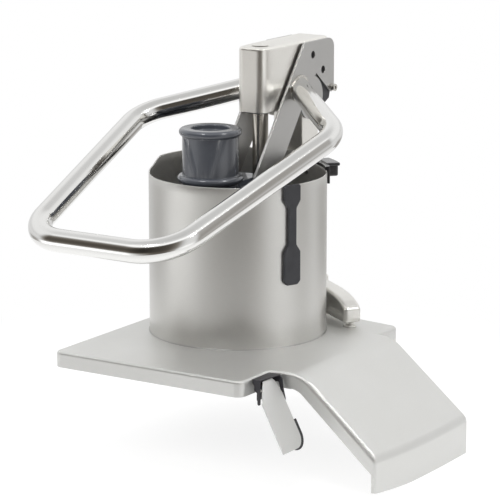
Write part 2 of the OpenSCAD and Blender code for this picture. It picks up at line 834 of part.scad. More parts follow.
module pivot_rings() {
  color("dimgray") both_sides() difference() {
    along_x(pivot_d + pivot_bush_wall, plate_out + fit, plate_out + fit + ring_t,
      pivot_y, pivot_z);
    along_x(pivot_d + 2 * fit, 0, 2 * plate_out, pivot_y, pivot_z);
  }
}

// Rubber pads inside the side plates, which hold the raised handle by friction
pad_clear = 0.3;
pad_t = plate_gap - (post_w - casing_w) / 2 - 2 * pad_clear;
pad_shares = [[1.06, 0.16], [0.99, -0.14], [0.7, -0.28], [0.42, -0.12], [0.4, 0.4], [0.98, 0.3]];

module friction_pads() {
  color("dimgray") both_sides() difference() {
    translate([0, pivot_y, pivot_z])
      yz_plate(plate_in - pad_clear / 2 - pad_t, plate_in - pad_clear / 2)
      polygon([for (p = pad_shares) [p[0] * lobe_y, p[1] * lobe_y]]);
    along_x(pad_screw_d + 2 * fit, 0, 2 * plate_out, pivot_y + lobe_y, pivot_z + lobe_z);
    along_x(pivot_d + 2 * pivot_bush_wall + 2 * pivot_bush_flange + 2 * gap, 0, 2 * plate_out,
      pivot_y, pivot_z);
  }
}

pad_screw_head_d = 8.5;
pad_screw_head_t = 5;
hex_d = 4;
hex_deep = 3;

module pad_screws() {
  color("silver") both_sides() difference() {
    union() {
      along_x(pad_screw_d, plate_in - pad_t, plate_out + fit + eps, pivot_y + lobe_y,
        pivot_z + lobe_z);
      along_x(pad_screw_head_d, plate_out + fit, plate_out + fit + pad_screw_head_t,
        pivot_y + lobe_y, pivot_z + lobe_z);
    }
    translate([plate_out + fit + pad_screw_head_t - hex_deep, pivot_y + lobe_y, pivot_z + lobe_z])
      rotate([0, 90, 0]) cylinder(h = hex_deep + eps, d = hex_d, $fn = 6);
  }
}

stud_d = 5;

module crank_studs() {
  color("silver") both_sides() {
    along_x(stud_d, cheek_in + gap, plate_out, crank_y0, crank_z0);
    along_x(stud_d + 2 * stud_collar_w, plate_in - stud_collar_t, plate_in - fit, crank_y0, crank_z0);
  }
}
stud_collar_t = 0.8;
stud_collar_w = 1.5;

module crank_roller() {
  color("white") difference() {
    along_x(roller_d, cheek_in + gap, cheek_out - fit, crank_y0, crank_z0);
    along_x(stud_d + 2 * run, 0, plate_out, crank_y0, crank_z0);
  }
}

module crank_roller_right() {
  crank_roller();
}

module crank_roller_left() {
  mirror([1, 0, 0]) crank_roller();
}

// The loop's centre line is drawn in its own plane, forward along U, sideways along X
function unit(v) = v / norm(v);
loop_pts = [[plate_out, loop_root], [loop_mid_w, loop_mid], [loop_bar_w, loop_reach]];
mid_in = unit(loop_pts[1] - loop_pts[0]);
mid_out = unit(loop_pts[2] - loop_pts[1]);
mid_turn = acos(mid_in * mid_out);
bar_turn = acos(mid_out * [-1, 0]);
mid_run = loop_bend_r * tan(mid_turn / 2);
bar_run = loop_bend_r * tan(bar_turn / 2);

// The tube's wall grows by this much on both faces in its bends, which the straight runs enter
bend_swell = 0.05;
run_in = 1;

module tube_section(d) {
  difference() {
    circle(tube_d / 2 + d);
    circle(tube_d / 2 - tube_wall - d);
  }
}

// A straight piece of tube from one point of the loop's plane to another
module tube_run(a, b) {
  u = unit(b - a);
  start = a - run_in * u;
  translate([start[0], start[1], 0]) rotate([0, 0, atan2(u[1], u[0])]) rotate([0, 90, 0])
    linear_extrude(norm(b - a) + 2 * run_in) tube_section(0);
}

// A bend that starts at p in the direction u and turns left by the angle
module tube_bend(p, u, angle) {
  centre = p + loop_bend_r * [-u[1], u[0]];
  translate([centre[0], centre[1], 0]) rotate([0, 0, atan2(u[1], u[0]) - 90])
    rotate_extrude(angle = angle) translate([loop_bend_r, 0]) tube_section(bend_swell);
}

// The loop, whose inner ends run on through the side plates' planes
module handle_loop() {
  root = loop_pts[0] - tube_d * mid_in;
  a = loop_pts[1] - mid_run * mid_in;
  b = loop_pts[1] + mid_run * mid_out;
  c = loop_pts[2] - bar_run * mid_out;
  bar_x = loop_pts[2][0] - bar_run;
  both_sides() {
    tube_run(root, a);
    tube_bend(a, mid_in, mid_turn);
    tube_run(b, c);
    tube_bend(c, mid_out, bar_turn);
  }
  tube_run([bar_x, loop_reach], [-bar_x, loop_reach]);
}

// Lays the loop's plane in the handle's rest position
module in_loop_plane() {
  translate([0, pivot_y, pivot_z]) rotate([loop_tilt, 0, 0]) translate([0, 0, loop_rise])
    mirror([0, 1, 0]) children();
}

module handle_tube() {
  color("white") difference() {
    in_loop_plane() handle_loop();
    span([-plate_out - fit, 0, 0], [plate_out + fit, 2 * hopper_d, 2 * pivot_z]);
  }
}

// Pusher

hub_r = 17;
buffer_t = 6;
hub_top = casing_z - stroke - buffer_t - gap;
hub_base_t = 8;
hub_base_r = 30;
cap_t = 3;
cap_over = 4;

module guide_rod() {
  color("white") translate([0, rod_y, 0]) difference() {
    translate([0, 0, pusher_z + pusher_t + hub_base_t])
      cylinder(h = casing_top + gap - pusher_z - pusher_t - hub_base_t, d = rod_d);
    translate([0, 0, pusher_z]) cylinder(h = rod_screw_len + pusher_t + 2 * eps + gap, d = rod_screw_d + 2 * fit);
    translate([0, 0, casing_top - cap_pin_len]) cylinder(h = cap_pin_len + eps, d = cap_pin_d + 2 * fit);
  }
}
rod_screw_d = 8;
rod_screw_len = 22;
cap_pin_d = 8;
cap_pin_len = 10;

module rod_cap() {
  color("silver") translate([0, rod_y, casing_top + gap]) {
    cylinder(h = cap_t, d = rod_d + cap_over);
    translate([0, 0, -cap_pin_len]) cylinder(h = cap_pin_len + eps, d = cap_pin_d);
  }
}

module rod_hub() {
  z = pusher_z + pusher_t;
  color("slategray") translate([0, rod_y, 0]) difference() {
    union() {
      translate([0, 0, z]) cylinder(h = hub_base_t, r = hub_base_r);
      translate([0, 0, z]) cylinder(h = hub_top - z, r = hub_r);
    }
    translate([0, 0, z + hub_base_t]) cylinder(h = hub_top, d = rod_d + 2 * fit);
    translate([0, 0, z - eps]) cylinder(h = hub_top, d = rod_screw_d + 2 * fit);
    for (a = hub_screw_angles) {
      rotate([0, 0, a]) translate([hub_screw_r, 0, z - eps])
        cylinder(h = hub_base_t + 2 * eps, d = hub_screw_d + 2 * fit);
    }
  }
}
hub_screw_angles = [45, 135, 225, 315];
hub_screw_r = 24;
hub_screw_d = 5;
hub_screw_head_d = 8.5;
hub_screw_head_t = 3;

buffer_in = 2;
module lift_buffer() {
  color("dimgray") translate([0, rod_y, 0]) ring(hub_r - buffer_in, rod_d / 2 + gap, hub_top, hub_top + buffer_t);
}

module hub_screws() {
  z = pusher_z + pusher_t;
  color("silver") translate([0, rod_y, 0]) for (a = hub_screw_angles) {
    rotate([0, 0, a]) translate([hub_screw_r, 0, 0]) {
      translate([0, 0, z + hub_base_t]) cylinder(h = hub_screw_head_t, d = hub_screw_head_d);
      translate([0, 0, z - pusher_t + eps]) cylinder(h = pusher_t + hub_base_t, d = hub_screw_d);
    }
  }
}

module rod_end_screw() {
  color("silver") translate([0, rod_y, pusher_z]) {
    translate([0, 0, eps]) cylinder(h = pusher_t - 2 * eps, d = rod_screw_head_d);
    translate([0, 0, 2 * eps]) cylinder(h = pusher_t + rod_screw_len, d = rod_screw_d);
  }
}
rod_screw_head_d = 14;
skirt_h = 12;
skirt_t = 3;
rib_t = 3;
rib_h = 8;

module pusher_plate() {
  color("slategray") difference() {
    union() {
      translate([0, 0, pusher_z]) cylinder(h = pusher_t, r = pusher_r);
      ring(pusher_r, pusher_r - skirt_t, pusher_z, pusher_z + skirt_h);
      intersection() {
        for (a = [0, 45, 90, 135]) {
          rotate([0, 0, a]) span([-pusher_r, -rib_t / 2, pusher_z], [pusher_r, rib_t / 2, pusher_z + pusher_t + rib_h]);
        }
        translate([0, 0, pusher_z]) cylinder(h = pusher_t + rib_h, r = pusher_r - skirt_t / 2);
      }
    }
    translate([0, -feed_y, pusher_z - eps]) cylinder(h = 4 * skirt_h, r = feed_or + fit);
    translate([0, rod_y, pusher_z + pusher_t]) cylinder(h = 4 * skirt_h, r = hub_base_r + fit);
    translate([0, rod_y, pusher_z + eps - fit]) cylinder(h = 4 * skirt_h, d = rod_screw_head_d + 2 * fit);
    translate([0, rod_y, 0]) for (a = hub_screw_angles) {
      rotate([0, 0, a]) translate([hub_screw_r, 0, pusher_z + eps - fit])
        cylinder(h = pusher_t, d = hub_screw_d + 2 * fit);
    }
    span([-cheek_out - fit, -feed_y, pusher_z + pusher_t],
      [cheek_out + fit, cheek_foot_y + rib_h / 2, pusher_z + 4 * skirt_h]);
  }
}

// The tube's bracket, whose slots the crank rollers push
cheek_foot_back = 8;
cheek_foot_y = -feed_y + feed_or + cheek_foot_back;
slot_wall = 3;
cheek_rear = slot_y1 + slot_wall;
bridge_t = 4;
cheek_knee_low = 8;
cheek_knee_z = crank_z0 - slot_h / 2 - cheek_knee_low;
cheek_low_z = pusher_z + pusher_t + fit;

module cheek() {
  yz_plate(cheek_in, cheek_out) difference() {
    polygon([
      [-feed_y, cheek_low_z], [cheek_foot_y, cheek_low_z], [cheek_rear, cheek_knee_z],
      [cheek_rear, feed_z], [-feed_y, feed_z]]);
    round_rect([slot_y0, crank_z0 - slot_h / 2], [slot_y1, crank_z0 + slot_h / 2], roller_d / 2);
  }
}

module feed_tube() {
  color("slategray") difference() {
    union() {
      translate([0, -feed_y, pusher_z]) cylinder(h = feed_z - pusher_z, r = feed_or);
      difference() {
        union() {
          both_sides() cheek();
          span([-cheek_out, -feed_y, feed_z - bridge_t], [cheek_out, cheek_rear, feed_z]);
          span([-rib_t / 2, -feed_y, cheek_low_z], [rib_t / 2, cheek_foot_y, feed_z]);
        }
      }
    }
    translate([0, -feed_y, pusher_z - eps]) cylinder(h = feed_z, r = feed_bore / 2);
  }
}

// Small pusher

small_gap = 0.6;
flange_h = 11;
grip_lip_h = 10;
lip_recess_r = 20;
lip_recess = 6;
plunger_wall = 3;
foot_t = 4;
small_z = feed_z + gap;
small_r = feed_bore / 2 - small_gap;
small_bottom = pusher_z + foot_t + gap;

// Half of the section through the small pusher
module small_section() {
  square([small_r, eps]);
  difference() {
    union() {
      translate([0, small_bottom]) square([small_r, small_z + flange_h - small_bottom]);
      translate([0, small_z]) round_end(grip_flange_d / 2, flange_h);
      translate([0, small_z]) square([grip_d / 2, grip_h - grip_lip_h / 2]);
      translate([0, small_z + grip_h - grip_lip_h]) round_end(grip_lip_d / 2, grip_lip_h);
    }
    translate([-eps, small_bottom - eps])
      square([small_r - plunger_wall + eps, small_z + grip_h - grip_lip_h - plunger_wall - small_bottom]);
    translate([-eps, small_z + grip_h - lip_recess])
      square([lip_recess_r + eps, lip_recess + eps]);
  }
}

// A flat bar whose outer end is round, from the axis to radius r
module round_end(r, h) {
  square([r - h / 2, h]);
  translate([r - h / 2, h / 2]) circle(h / 2, $fn = 2 * small_fn);
}

module small_pusher() {
  color("slategray") translate([0, -feed_y, 0]) rotate_extrude() intersection() {
    translate([0, small_bottom]) square([hopper_r, casing_top]);
    small_section();
  }
}

module small_pusher_foot() {
  color("dimgray") translate([0, -feed_y, pusher_z]) {
    cylinder(h = foot_t, r = small_r);
    cylinder(h = 3 * foot_t, r = small_r - plunger_wall - fit);
  }
}

// Latch on the lid's side, in front of the chute

latch_y = -162.6;
latch_x = lid_right + gap;
latch_base_h = 27;
latch_base_t = 2;
latch_pin_d = 4;
latch_pin_out = 6.1;
latch_pin_x = latch_x + latch_pin_out;
latch_pin_low = 9.5;
latch_pin_z = lid_top - latch_pin_low;
// The bracket's two ears, whose inner faces stand this far from the lever's middle
ear_front = 19.2;
ear_rear = 22;
ear_t = 2;
hood_t = 1.4;
ear_reach = 8.4;
ear_lean = 3.6;
ear_foot = 24;
bracket_y0 = latch_y - ear_front - ear_t;
bracket_y1 = latch_y + ear_rear + ear_t;
latch_rivet_d = 4;
latch_rivet_head_d = 7;
latch_rivet_s = 12;
lever_t = 1.5;
grip_t = 2.4;
knuckle_r = 3.6;
// Distance from the pin's axis to the lever sheet's inner face, square to the sheet
lever_off = 4.8;
// Length of the lever's end past the pin
lever_head = 3.2;
// The cut at the lever's front corner, along and across the lever
lever_cut = [22, 17.4];
// The small cut at its rear corner
lever_nip = [15, 4.6];
lever_round = 14;
// The grip behind the lever's lower end starts here and stands out past its rear edge
grip_from = 46;
grip_over = 2;
knuckle_w = 14;

// The ear's shape, in X and Z from the bracket's upper corner at the lid's side
module ear_outline() {
  polygon([
    [0, 0], [ear_reach, -hood_t], [ear_reach + ear_lean, -ear_foot],
    [ear_reach, -ear_foot - ear_lean], [0, -latch_base_h]]);
}

// The black bracket, whose hood covers the lever's end
module latch_bracket() {
  color("dimgray") difference() {
    union() {
      span([latch_x, bracket_y0, lid_top - latch_base_h - eps],
        [latch_x + latch_base_t, bracket_y1, lid_top - eps]);
      span([latch_x, bracket_y0, lid_top - hood_t - eps], [latch_x + ear_reach, bracket_y1, lid_top - eps]);
      for (y = [bracket_y0, bracket_y1 - ear_t]) {
        translate([latch_x, 0, lid_top - eps]) xz_plate(y, y + ear_t) ear_outline();
      }
    }
    translate([latch_pin_x, 0, latch_pin_z]) rotate([90, 0, 0])
      cylinder(h = 2 * lid_front, d = latch_pin_d + 2 * fit);
    span([latch_x - eps, -chute_front - lid_corner_r - eps, lid_top - latch_base_h - 2 * eps],
      [latch_x + bracket_relief, -chute_front, lid_top]);
    for (s = [-1, 1]) {
      along_x(latch_rivet_d + 2 * fit, latch_x - eps, latch_x + latch_base_t + eps,
        latch_y + s * latch_rivet_s, lid_top - latch_rivet_low);
    }
  }
}
latch_rivet_low = 15;
// The bracket stands back from the lid's rounded inner corner by this much
bracket_relief = 1.6;

module latch_rivets() {
  color("silver") for (s = [-1, 1]) {
    y = latch_y + s * latch_rivet_s;
    z = lid_top - latch_rivet_low;
    along_x(latch_rivet_d, lid_right - lid_t - fit, latch_x + latch_base_t + fit + eps / 2, y, z);
    along_x(latch_rivet_head_d, lid_right - lid_t - fit - rivet_head_t, lid_right - lid_t - fit, y, z);
    along_x(latch_rivet_head_d, latch_x + latch_base_t + fit,
      latch_x + latch_base_t + fit + rivet_head_t / 2, y, z);
  }
}

module latch_pin() {
  color("silver") translate([latch_pin_x, bracket_y1 + eps, latch_pin_z])
    rotate([90, 0, 0]) cylinder(h = bracket_y1 - bracket_y0 + 2 * eps, d = latch_pin_d);
}

// Places a shape on the lever, with X along the lever from the pin and Y across it
module on_lever(z) {
  translate([latch_pin_x, latch_y, latch_pin_z]) rotate([0, 90 - latch_open, 0])
    translate([0, 0, z]) children();
}

// A sheet whose corner between the lower end and the rear edge is round
module lever_sheet(t, from, over) {
  w = latch_w / 2;
  end = latch_len - lever_head;
  translate([end - lever_round, w - lever_round, 0]) cylinder(h = t, r = lever_round + over);
  translate([from, -w, 0]) cube([end - from, latch_w - lever_round, t]);
  translate([from, -w, 0]) cube([end - from - lever_round, latch_w + over, t]);
}

module latch_lever() {
  w = latch_w / 2;
  color("silver") on_lever(lever_off) {
    lever_sheet(lever_t, lever_cut[0], 0);
    linear_extrude(lever_t) polygon([
      [-lever_head, lever_cut[1] - w], [lever_cut[0] - lever_head, -w], [lever_cut[0] + eps, -w],
      [lever_cut[0] + eps, w], [lever_nip[0], w - run], [0, w - lever_nip[1]],
      [-lever_head, w - lever_nip[1] - lever_head]]);
  }
}

module latch_grip() {
  color("dimgray") on_lever(0) difference() {
    union() {
      translate([0, 0, lever_off - fit - grip_t]) {
        lever_sheet(grip_t, grip_from, grip_over);
        translate([0, -knuckle_w, 0]) cube([grip_from + eps, 2 * knuckle_w, grip_t]);
      }
      rotate([90, 0, 0]) translate([0, 0, -knuckle_w]) cylinder(h = 2 * knuckle_w, r = knuckle_r);
    }
    rotate([90, 0, 0]) translate([0, 0, -latch_w]) cylinder(h = 2 * latch_w, d = latch_pin_d + 2 * run);
    translate([-2 * knuckle_r, -spring_w / 2, -2 * knuckle_r])
      cube([4 * knuckle_r, spring_w, 2 * knuckle_r + spring_r + spring_wire / 2 + gap]);
  }
}
spring_w = 10;
spring_wire = 1;
spring_r = latch_pin_d / 2 + gap / 2 + spring_wire / 2;

// The hook's plate lies under the lever and takes the machine's catch
hook_at = 20;
hook_len = 24;
hook_w = 14;
hook_t = 2;
hook_lip = 5;

module latch_hook() {
  color("silver") on_lever(lever_off - grip_t - hook_t - 2 * fit) {
    translate([hook_at, -hook_w / 2, 0]) cube([hook_len, hook_w, hook_t]);
    translate([hook_at + hook_len - hook_t, -hook_w / 2, -hook_lip]) cube([hook_t, hook_w, hook_lip + eps]);
  }
}

module latch_spring() {
  color("silver") translate([latch_pin_x, latch_y, latch_pin_z]) rotate([90, 0, 0])
    for (k = [-3:3]) {
      translate([0, 0, k * (spring_wire + gap / 2)])
        rotate_extrude() translate([spring_r, 0]) circle(spring_wire / 2, $fn = 24);
    }
}

lid_shell();
hopper_foot_ring();
hopper_shell();
rim_catch();
rim_catch_rivets();
rubber_strap();
strap_studs();
rear_yoke();
yoke_pads();
yoke_screws();
spindle_bush();
post_spindle();
spindle_screw();
rear_post();
post_head_block();
head_casing();
casing_screws();
guide_sleeve();
guide_bushes();
pivot_shaft();
handle_tube();
side_plate_right();
side_plate_left();
pivot_bushes();
pivot_rings();
friction_pads();
pad_screws();
crank_studs();
crank_roller_right();
crank_roller_left();
guide_rod();
rod_cap();
rod_hub();
lift_buffer();
hub_screws();
rod_end_screw();
pusher_plate();
feed_tube();
small_pusher();
small_pusher_foot();
latch_bracket();
latch_rivets();
latch_pin();
latch_lever();
latch_grip();
latch_hook();
latch_spring();
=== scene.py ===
# Lever operated feed head of a vegetable cutter, dressed for its picture.
# The settings are in millimetres and degrees, and every mesh is built in metres.
import json
from math import acos, atan2, ceil, cos, degrees, hypot, pi, radians, sin, tan

import bmesh
import bpy
from mathutils import Matrix, Vector


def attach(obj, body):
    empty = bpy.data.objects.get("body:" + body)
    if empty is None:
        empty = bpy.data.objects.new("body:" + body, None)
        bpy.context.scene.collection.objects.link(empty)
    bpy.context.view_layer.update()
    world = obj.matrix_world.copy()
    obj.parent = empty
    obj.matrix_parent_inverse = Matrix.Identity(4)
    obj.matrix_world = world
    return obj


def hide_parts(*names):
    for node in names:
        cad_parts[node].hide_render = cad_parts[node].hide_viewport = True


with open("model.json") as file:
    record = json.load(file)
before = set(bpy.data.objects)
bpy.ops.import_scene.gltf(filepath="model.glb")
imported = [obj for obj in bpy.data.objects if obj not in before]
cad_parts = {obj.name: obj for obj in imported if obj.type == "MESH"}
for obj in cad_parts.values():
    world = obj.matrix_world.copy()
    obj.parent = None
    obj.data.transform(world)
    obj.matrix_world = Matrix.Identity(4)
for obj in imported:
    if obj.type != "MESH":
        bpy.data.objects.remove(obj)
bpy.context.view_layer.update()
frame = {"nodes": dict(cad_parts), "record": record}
scene = bpy.context.scene
bodyOf = {n: b for b, nodes in frame["record"]["behaviour"]["bodies"].items() for n in nodes}
mm = 0.001
print("frame loaded:", len(frame["nodes"]), "nodes")


# Small helpers

def linearColour(code):
    levels = [int(code[i:i + 2], 16) / 255 for i in (0, 2, 4)]
    return tuple(v / 12.92 if v <= 0.04045 else ((v + 0.055) / 1.055) ** 2.4 for v in levels) + (1.0,)


def addNode(tree, kind, inputs=None, **settings):
    # An input is a value, a socket, or a node whose first output is meant
    node = tree.nodes.new(kind)
    for name, value in settings.items():
        setattr(node, name, value)
    for name, value in (inputs or {}).items():
        if isinstance(value, bpy.types.Node):
            value = value.outputs[0]
        if isinstance(value, bpy.types.NodeSocket):
            tree.links.new(value, node.inputs[name])
        else:
            node.inputs[name].default_value = value
    return node


def maths(tree, operation, *values, **settings):
    return addNode(tree, "ShaderNodeMath", dict(enumerate(values)), operation=operation, **settings)


def spread(tree, value, low, high, start=0.0, end=1.0, **settings):
    # Takes the range from low to high to the one from start to end
    return addNode(tree, "ShaderNodeMapRange", {0: value, 1: low, 2: high, 3: start, 4: end}, **settings)


def mixedColour(tree, share, first, second, blend="MIX"):
    mix = addNode(tree, "ShaderNodeMix", {0: share, 6: first, 7: second}, data_type="RGBA", blend_type=blend)
    return mix.outputs[2]


def direction(azimuth, elevation=0.0):
    a, e = radians(azimuth), radians(elevation)
    return Vector((sin(a) * cos(e), -cos(a) * cos(e), sin(e)))


def onCircle(radius, angle, centre=(0, 0)):
    a = radians(angle)
    return (centre[0] + radius * cos(a), centre[1] + radius * sin(a))


def ringPoints(radius, steps, centre=(0, 0)):
    return [onCircle(radius, 360 * k / steps, centre) for k in range(steps)]


def arcPoints(centre, radius, start, end, step=6.0):
    count = max(2, ceil(abs(end - start) / step))
    return [onCircle(radius, start + (end - start) * i / count, centre) for i in range(count + 1)]


def roundedLine(points, radii, closed=True, step=10.0):
    # A polyline whose corners are rounded, each with its own radius
    line = []
    count = len(points)
    for i, point in enumerate(points):
        p, r = Vector(point), radii[i]
        if r <= 0 or (not closed and i in (0, count - 1)):
            line.append(tuple(p))
            continue
        a = (Vector(points[i - 1]) - p).normalized()
        b = (Vector(points[(i + 1) % count]) - p).normalized()
        half = a.angle(b) / 2
        centre = p + (a + b).normalized() * r / sin(half)
        start = p + a * r / tan(half) - centre
        end = p + b * r / tan(half) - centre
        a0, a1 = atan2(start.y, start.x), atan2(end.y, end.x)
        turn = (a1 - a0 + pi) % (2 * pi) - pi
        parts = max(2, ceil(degrees(abs(turn)) / step))
        line += [onCircle(r, degrees(a0 + turn * k / parts), centre) for k in range(parts + 1)]
    return line


def meshFrom(name, vertices, faces, edges=()):
    mesh = bpy.data.meshes.new(name)
    mesh.from_pydata([Vector(v) * mm for v in vertices], edges, faces)
    mesh.validate()
    return mesh


def opened(*meshes):
    bm = bmesh.new()
    for mesh in meshes:
        bm.from_mesh(mesh)
    return bm


def closed(bm, name):
    mesh = bpy.data.meshes.new(name)
    bm.to_mesh(mesh)
    bm.free()
    return mesh


def joined(name, *meshes):
    return closed(opened(*meshes), name)


def placed(name, data):
    thing = bpy.data.objects.new(name, data)
    scene.collection.objects.link(thing)
    return thing


def prism(name, outline, low, high, place=lambda u, v, w: (u, v, w)):
    # A closed block whose outline runs anticlockwise as seen from its high side
    count = len(outline)
    vertices = [place(u, v, w) for w in (low, high) for u, v in outline]
    faces = [list(range(count - 1, -1, -1)), list(range(count, 2 * count))]
    faces += [[i, (i + 1) % count, count + (i + 1) % count, count + i] for i in range(count)]
    return meshFrom(name, vertices, faces)


def lathe(name, profile, centre=(0, 0, 0), axis="Z", steps=96):
    # A closed profile of (radius, height) points turned round an axis; zero radius closes a pole
    bm = bmesh.new()
    rings = []
    for radius, height in profile:
        ring = ringPoints(radius, steps) if radius else [(0, 0)]
        rings.append([bm.verts.new((x * mm, y * mm, height * mm)) for x, y in ring])
    for a, b in zip(rings, rings[1:] + rings[:1]):
        for k in range(steps if len(a) + len(b) > 2 else 0):
            n = (k + 1) % steps
            corners = [a[k % len(a)], a[n % len(a)], b[n % len(b)], b[k % len(b)]]
            bm.faces.new(list(dict.fromkeys(corners)))
    turn = {"X": (pi / 2, 4, "Y"), "Y": (-pi / 2, 4, "X"), "Z": (0, 4, "Z")}[axis]
    bm.transform(Matrix.Translation(Vector(centre) * mm) @ Matrix.Rotation(*turn))
    bmesh.ops.recalc_face_normals(bm, faces=bm.faces)
    return closed(bm, name)


def roundPlug(radius, low, high, centre=(0, 0), steps=96):
    return prism("plug", ringPoints(radius, steps, centre), low, high)


def crossBar(radius, y, z, low=-60, high=60, steps=48):
    return prism("crossBar", ringPoints(radius, steps, (y, z)), low, high, lambda u, v, w: (w, u, v))


def shaped(mesh, *modifiers):
    # Applies modifiers, given as (kind, settings), and returns a plain mesh
    helper = placed("shapedHelper", mesh)
    for kind, settings in modifiers:
        modifier = helper.modifiers.new(kind, kind)
        for name, value in settings.items():
            if hasattr(modifier, name):
                setattr(modifier, name, value)
            else:
                modifier[name] = value
    bpy.context.view_layer.update()
    result = bpy.data.meshes.new_from_object(helper.evaluated_get(bpy.context.evaluated_depsgraph_get()))
    result.name = mesh.name
    bpy.data.objects.remove(helper)
    return result


def rounding(width, segments=2, angle=40):
    return ("BEVEL", {"width": width * mm, "segments": segments, "limit_method": "ANGLE",
                      "angle_limit": radians(angle), "use_clamp_overlap": False, "harden_normals": False})


def cut(mesh, *tools):
    # Takes the tool meshes out of the mesh
    helpers = [placed("cutHelper", tool) for tool in tools]
    result = shaped(mesh, *(("BOOLEAN", {"object": h, "operation": "DIFFERENCE", "solver": "EXACT"}) for h in helpers))
    for helper in helpers:
        bpy.data.objects.remove(helper)
    return result


def cadForm(node, tolerance=0.4):
    # The CAD node's mesh, merged and with its flat faces joined
    bm = opened(frame["nodes"][node].data)
    bmesh.ops.remove_doubles(bm, verts=bm.verts, dist=2e-6)
    bmesh.ops.dissolve_limit(bm, angle_limit=radians(tolerance), verts=bm.verts, edges=bm.edges)
    return closed(bm, node + "Form")


def addPiece(node, mesh, finish, sharp=50, even=True, name=None, body=None):
    # Puts a finished mesh into the scene in place of its CAD node, and names it after that node unless a name is
    # given; "even" keeps its flat faces flat
    for polygon in mesh.polygons:
        polygon.use_smooth = True
    mesh.set_sharp_from_angle(angle=radians(sharp))
    if even:
        mesh = shaped(mesh, ("WEIGHTED_NORMAL", {"mode": "FACE_AREA_WITH_ANGLE", "weight": 50, "keep_sharp": True}))
    mesh.materials.clear()
    mesh.materials.append(finish)
    first, *rest = (name or node).split("_")
    piece = placed(first + "".join(word.title() for word in rest), mesh)
    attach(piece, body or bodyOf[node])
    if node:
        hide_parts(node)


def cadPiece(node, finish, width, segments=2, angle=40, sharp=35):
    # The CAD node's own form with rounded edges
    addPiece(node, shaped(cadForm(node), rounding(width, segments, angle)), finish, sharp)


# Finishes


def startFinish(name):
    finish = bpy.data.materials.new(name)
    finish.use_nodes = True
    finish.node_tree.nodes.clear()
    return finish, finish.node_tree


def makeFinish(name, colour, shade, cloud, grain, roughness, bump, depth=0.03, fleck=0.05, metal=1.0,
               stretch=(1, 1, 1), around=0, ior=None, skin=0.0):
    # Bare metal has a faint cloud in its grey, and a fine grain in its gloss and surface. Where an ior is given it is
    # moulded plastic, rubber or a coat: a slight cloud in its colour and gloss, and a fine moulded texture
    bare = ior is None
    finish, tree = startFinish(name)
    place = addNode(tree, "ShaderNodeTexCoord").outputs["Object"]
    if around:
        # The grain runs round the piece's upright axis
        parts = addNode(tree, "ShaderNodeSeparateXYZ", {0: place}).outputs
        along = maths(tree, "MULTIPLY", maths(tree, "ARCTAN2", parts[1], parts[0]), around * mm)
        place = addNode(tree, "ShaderNodeCombineXYZ", {0: along, 2: parts[2]})
    stretched = addNode(tree, "ShaderNodeMapping", {"Vector": place, "Scale": stretch})
    clouds = addNode(tree, "ShaderNodeTexNoise", {"Vector": place, "Scale": 1 / (cloud * mm), "Detail": 3.0})
    grains = addNode(tree, "ShaderNodeTexNoise", {
        "Vector": stretched, "Scale": 1 / (grain * mm), "Detail": 4.0 if bare else 3.0,
        "Roughness": 0.6 if bare else 0.5})
    tone = mixedColour(tree, clouds, linearColour(colour), linearColour(shade))
    if bare:
        tone = mixedColour(tree, 1.0, tone, spread(tree, grains, 0.25, 0.75, 1 - fleck), "MULTIPLY")
    gloss = spread(tree, grains, 0.2, 0.8, *roughness) if bare else spread(tree, clouds, 0.3, 0.7, *roughness)
    relief = addNode(tree, "ShaderNodeBump", {"Height": grains, "Strength": bump, "Distance": depth * mm})
    shader = addNode(tree, "ShaderNodeBsdfPrincipled", {
        "Base Color": tone, "Roughness": gloss, "Metallic": metal if bare else 0.0, "IOR": ior or 1.5,
        "Coat Weight": skin, "Coat Roughness": 0.07, "Normal": relief})
    addNode(tree, "ShaderNodeOutputMaterial", {0: shader})
    return finish


# Stainless sheet, fine ground round the hopper: soft upright light bands, no clear reflections
hopperSteel = makeFinish("groundStainlessHopper", "D5D4D1", "CECDC9", 70, 0.7, (0.3, 0.38), 0.12,
                         metal=0.89, stretch=(0.12, 1, 1), around=100)
# Stainless sheet, glass bead blasted: even satin grey that darkens softly where it turns away
lidSteel = makeFinish("blastedStainlessLid", "DCDCDA", "D8D8D5", 55, 0.6, (0.42, 0.48), 0.15, metal=0.82)
# Stainless of the latch lever, with painted light: a lighter and less metallic copy of the lid's steel, so that the
# lever shows as bright as the light falling on its face makes it
litLeverSteel = makeFinish("paleLeverSteelPaintedLight", "E7E7E6", "E2E2E0", 55, 0.6, (0.46, 0.53), 0.15,
                        metal=0.74)
# Stainless sheet, ground upright on the folded casing: long soft highlights at its corners
casingSteel = makeFinish("groundStainlessCasing", "F4F2ED", "EEECE6", 40, 0.6, (0.26, 0.34), 0.12,
                         fleck=0.06, metal=0.96, stretch=(1, 1, 0.1))
# Laser cut stainless plate, left matt from the mill
plateSteel = makeFinish("millStainlessPlate", "C3C2C0", "BBBAB8", 45, 0.7, (0.34, 0.42), 0.1, fleck=0.04)
# Stainless tube, mirror polished: sharp bands of the studio along it
tubeSteel = makeFinish("polishedStainlessTube", "E8E8E6", "E4E3E1", 60, 5, (0.09, 0.11), 0.004, 0.01,
                       fleck=0.02)
# Stainless rod, centreless ground: softly blurred upright bands
rodSteel = makeFinish("groundStainlessRod", "DDD9D2", "D2CDC4", 25, 0.6, (0.2, 0.26), 0.05, 0.02,
                      fleck=0.08, stretch=(1, 1, 4))
# Turned and ground stainless bar, screws and pins
brightSteel = makeFinish("turnedStainless", "DAD8D4", "CFCCC6", 12, 0.5, (0.14, 0.22), 0.08, 0.02)
# TIG weld, wire brushed: bright and lightly rippled
weldSteel = makeFinish("brushedWeld", "DCDAD6", "B8B3AA", 3, 0.8, (0.18, 0.34), 0.5, 0.12, fleck=0.15)
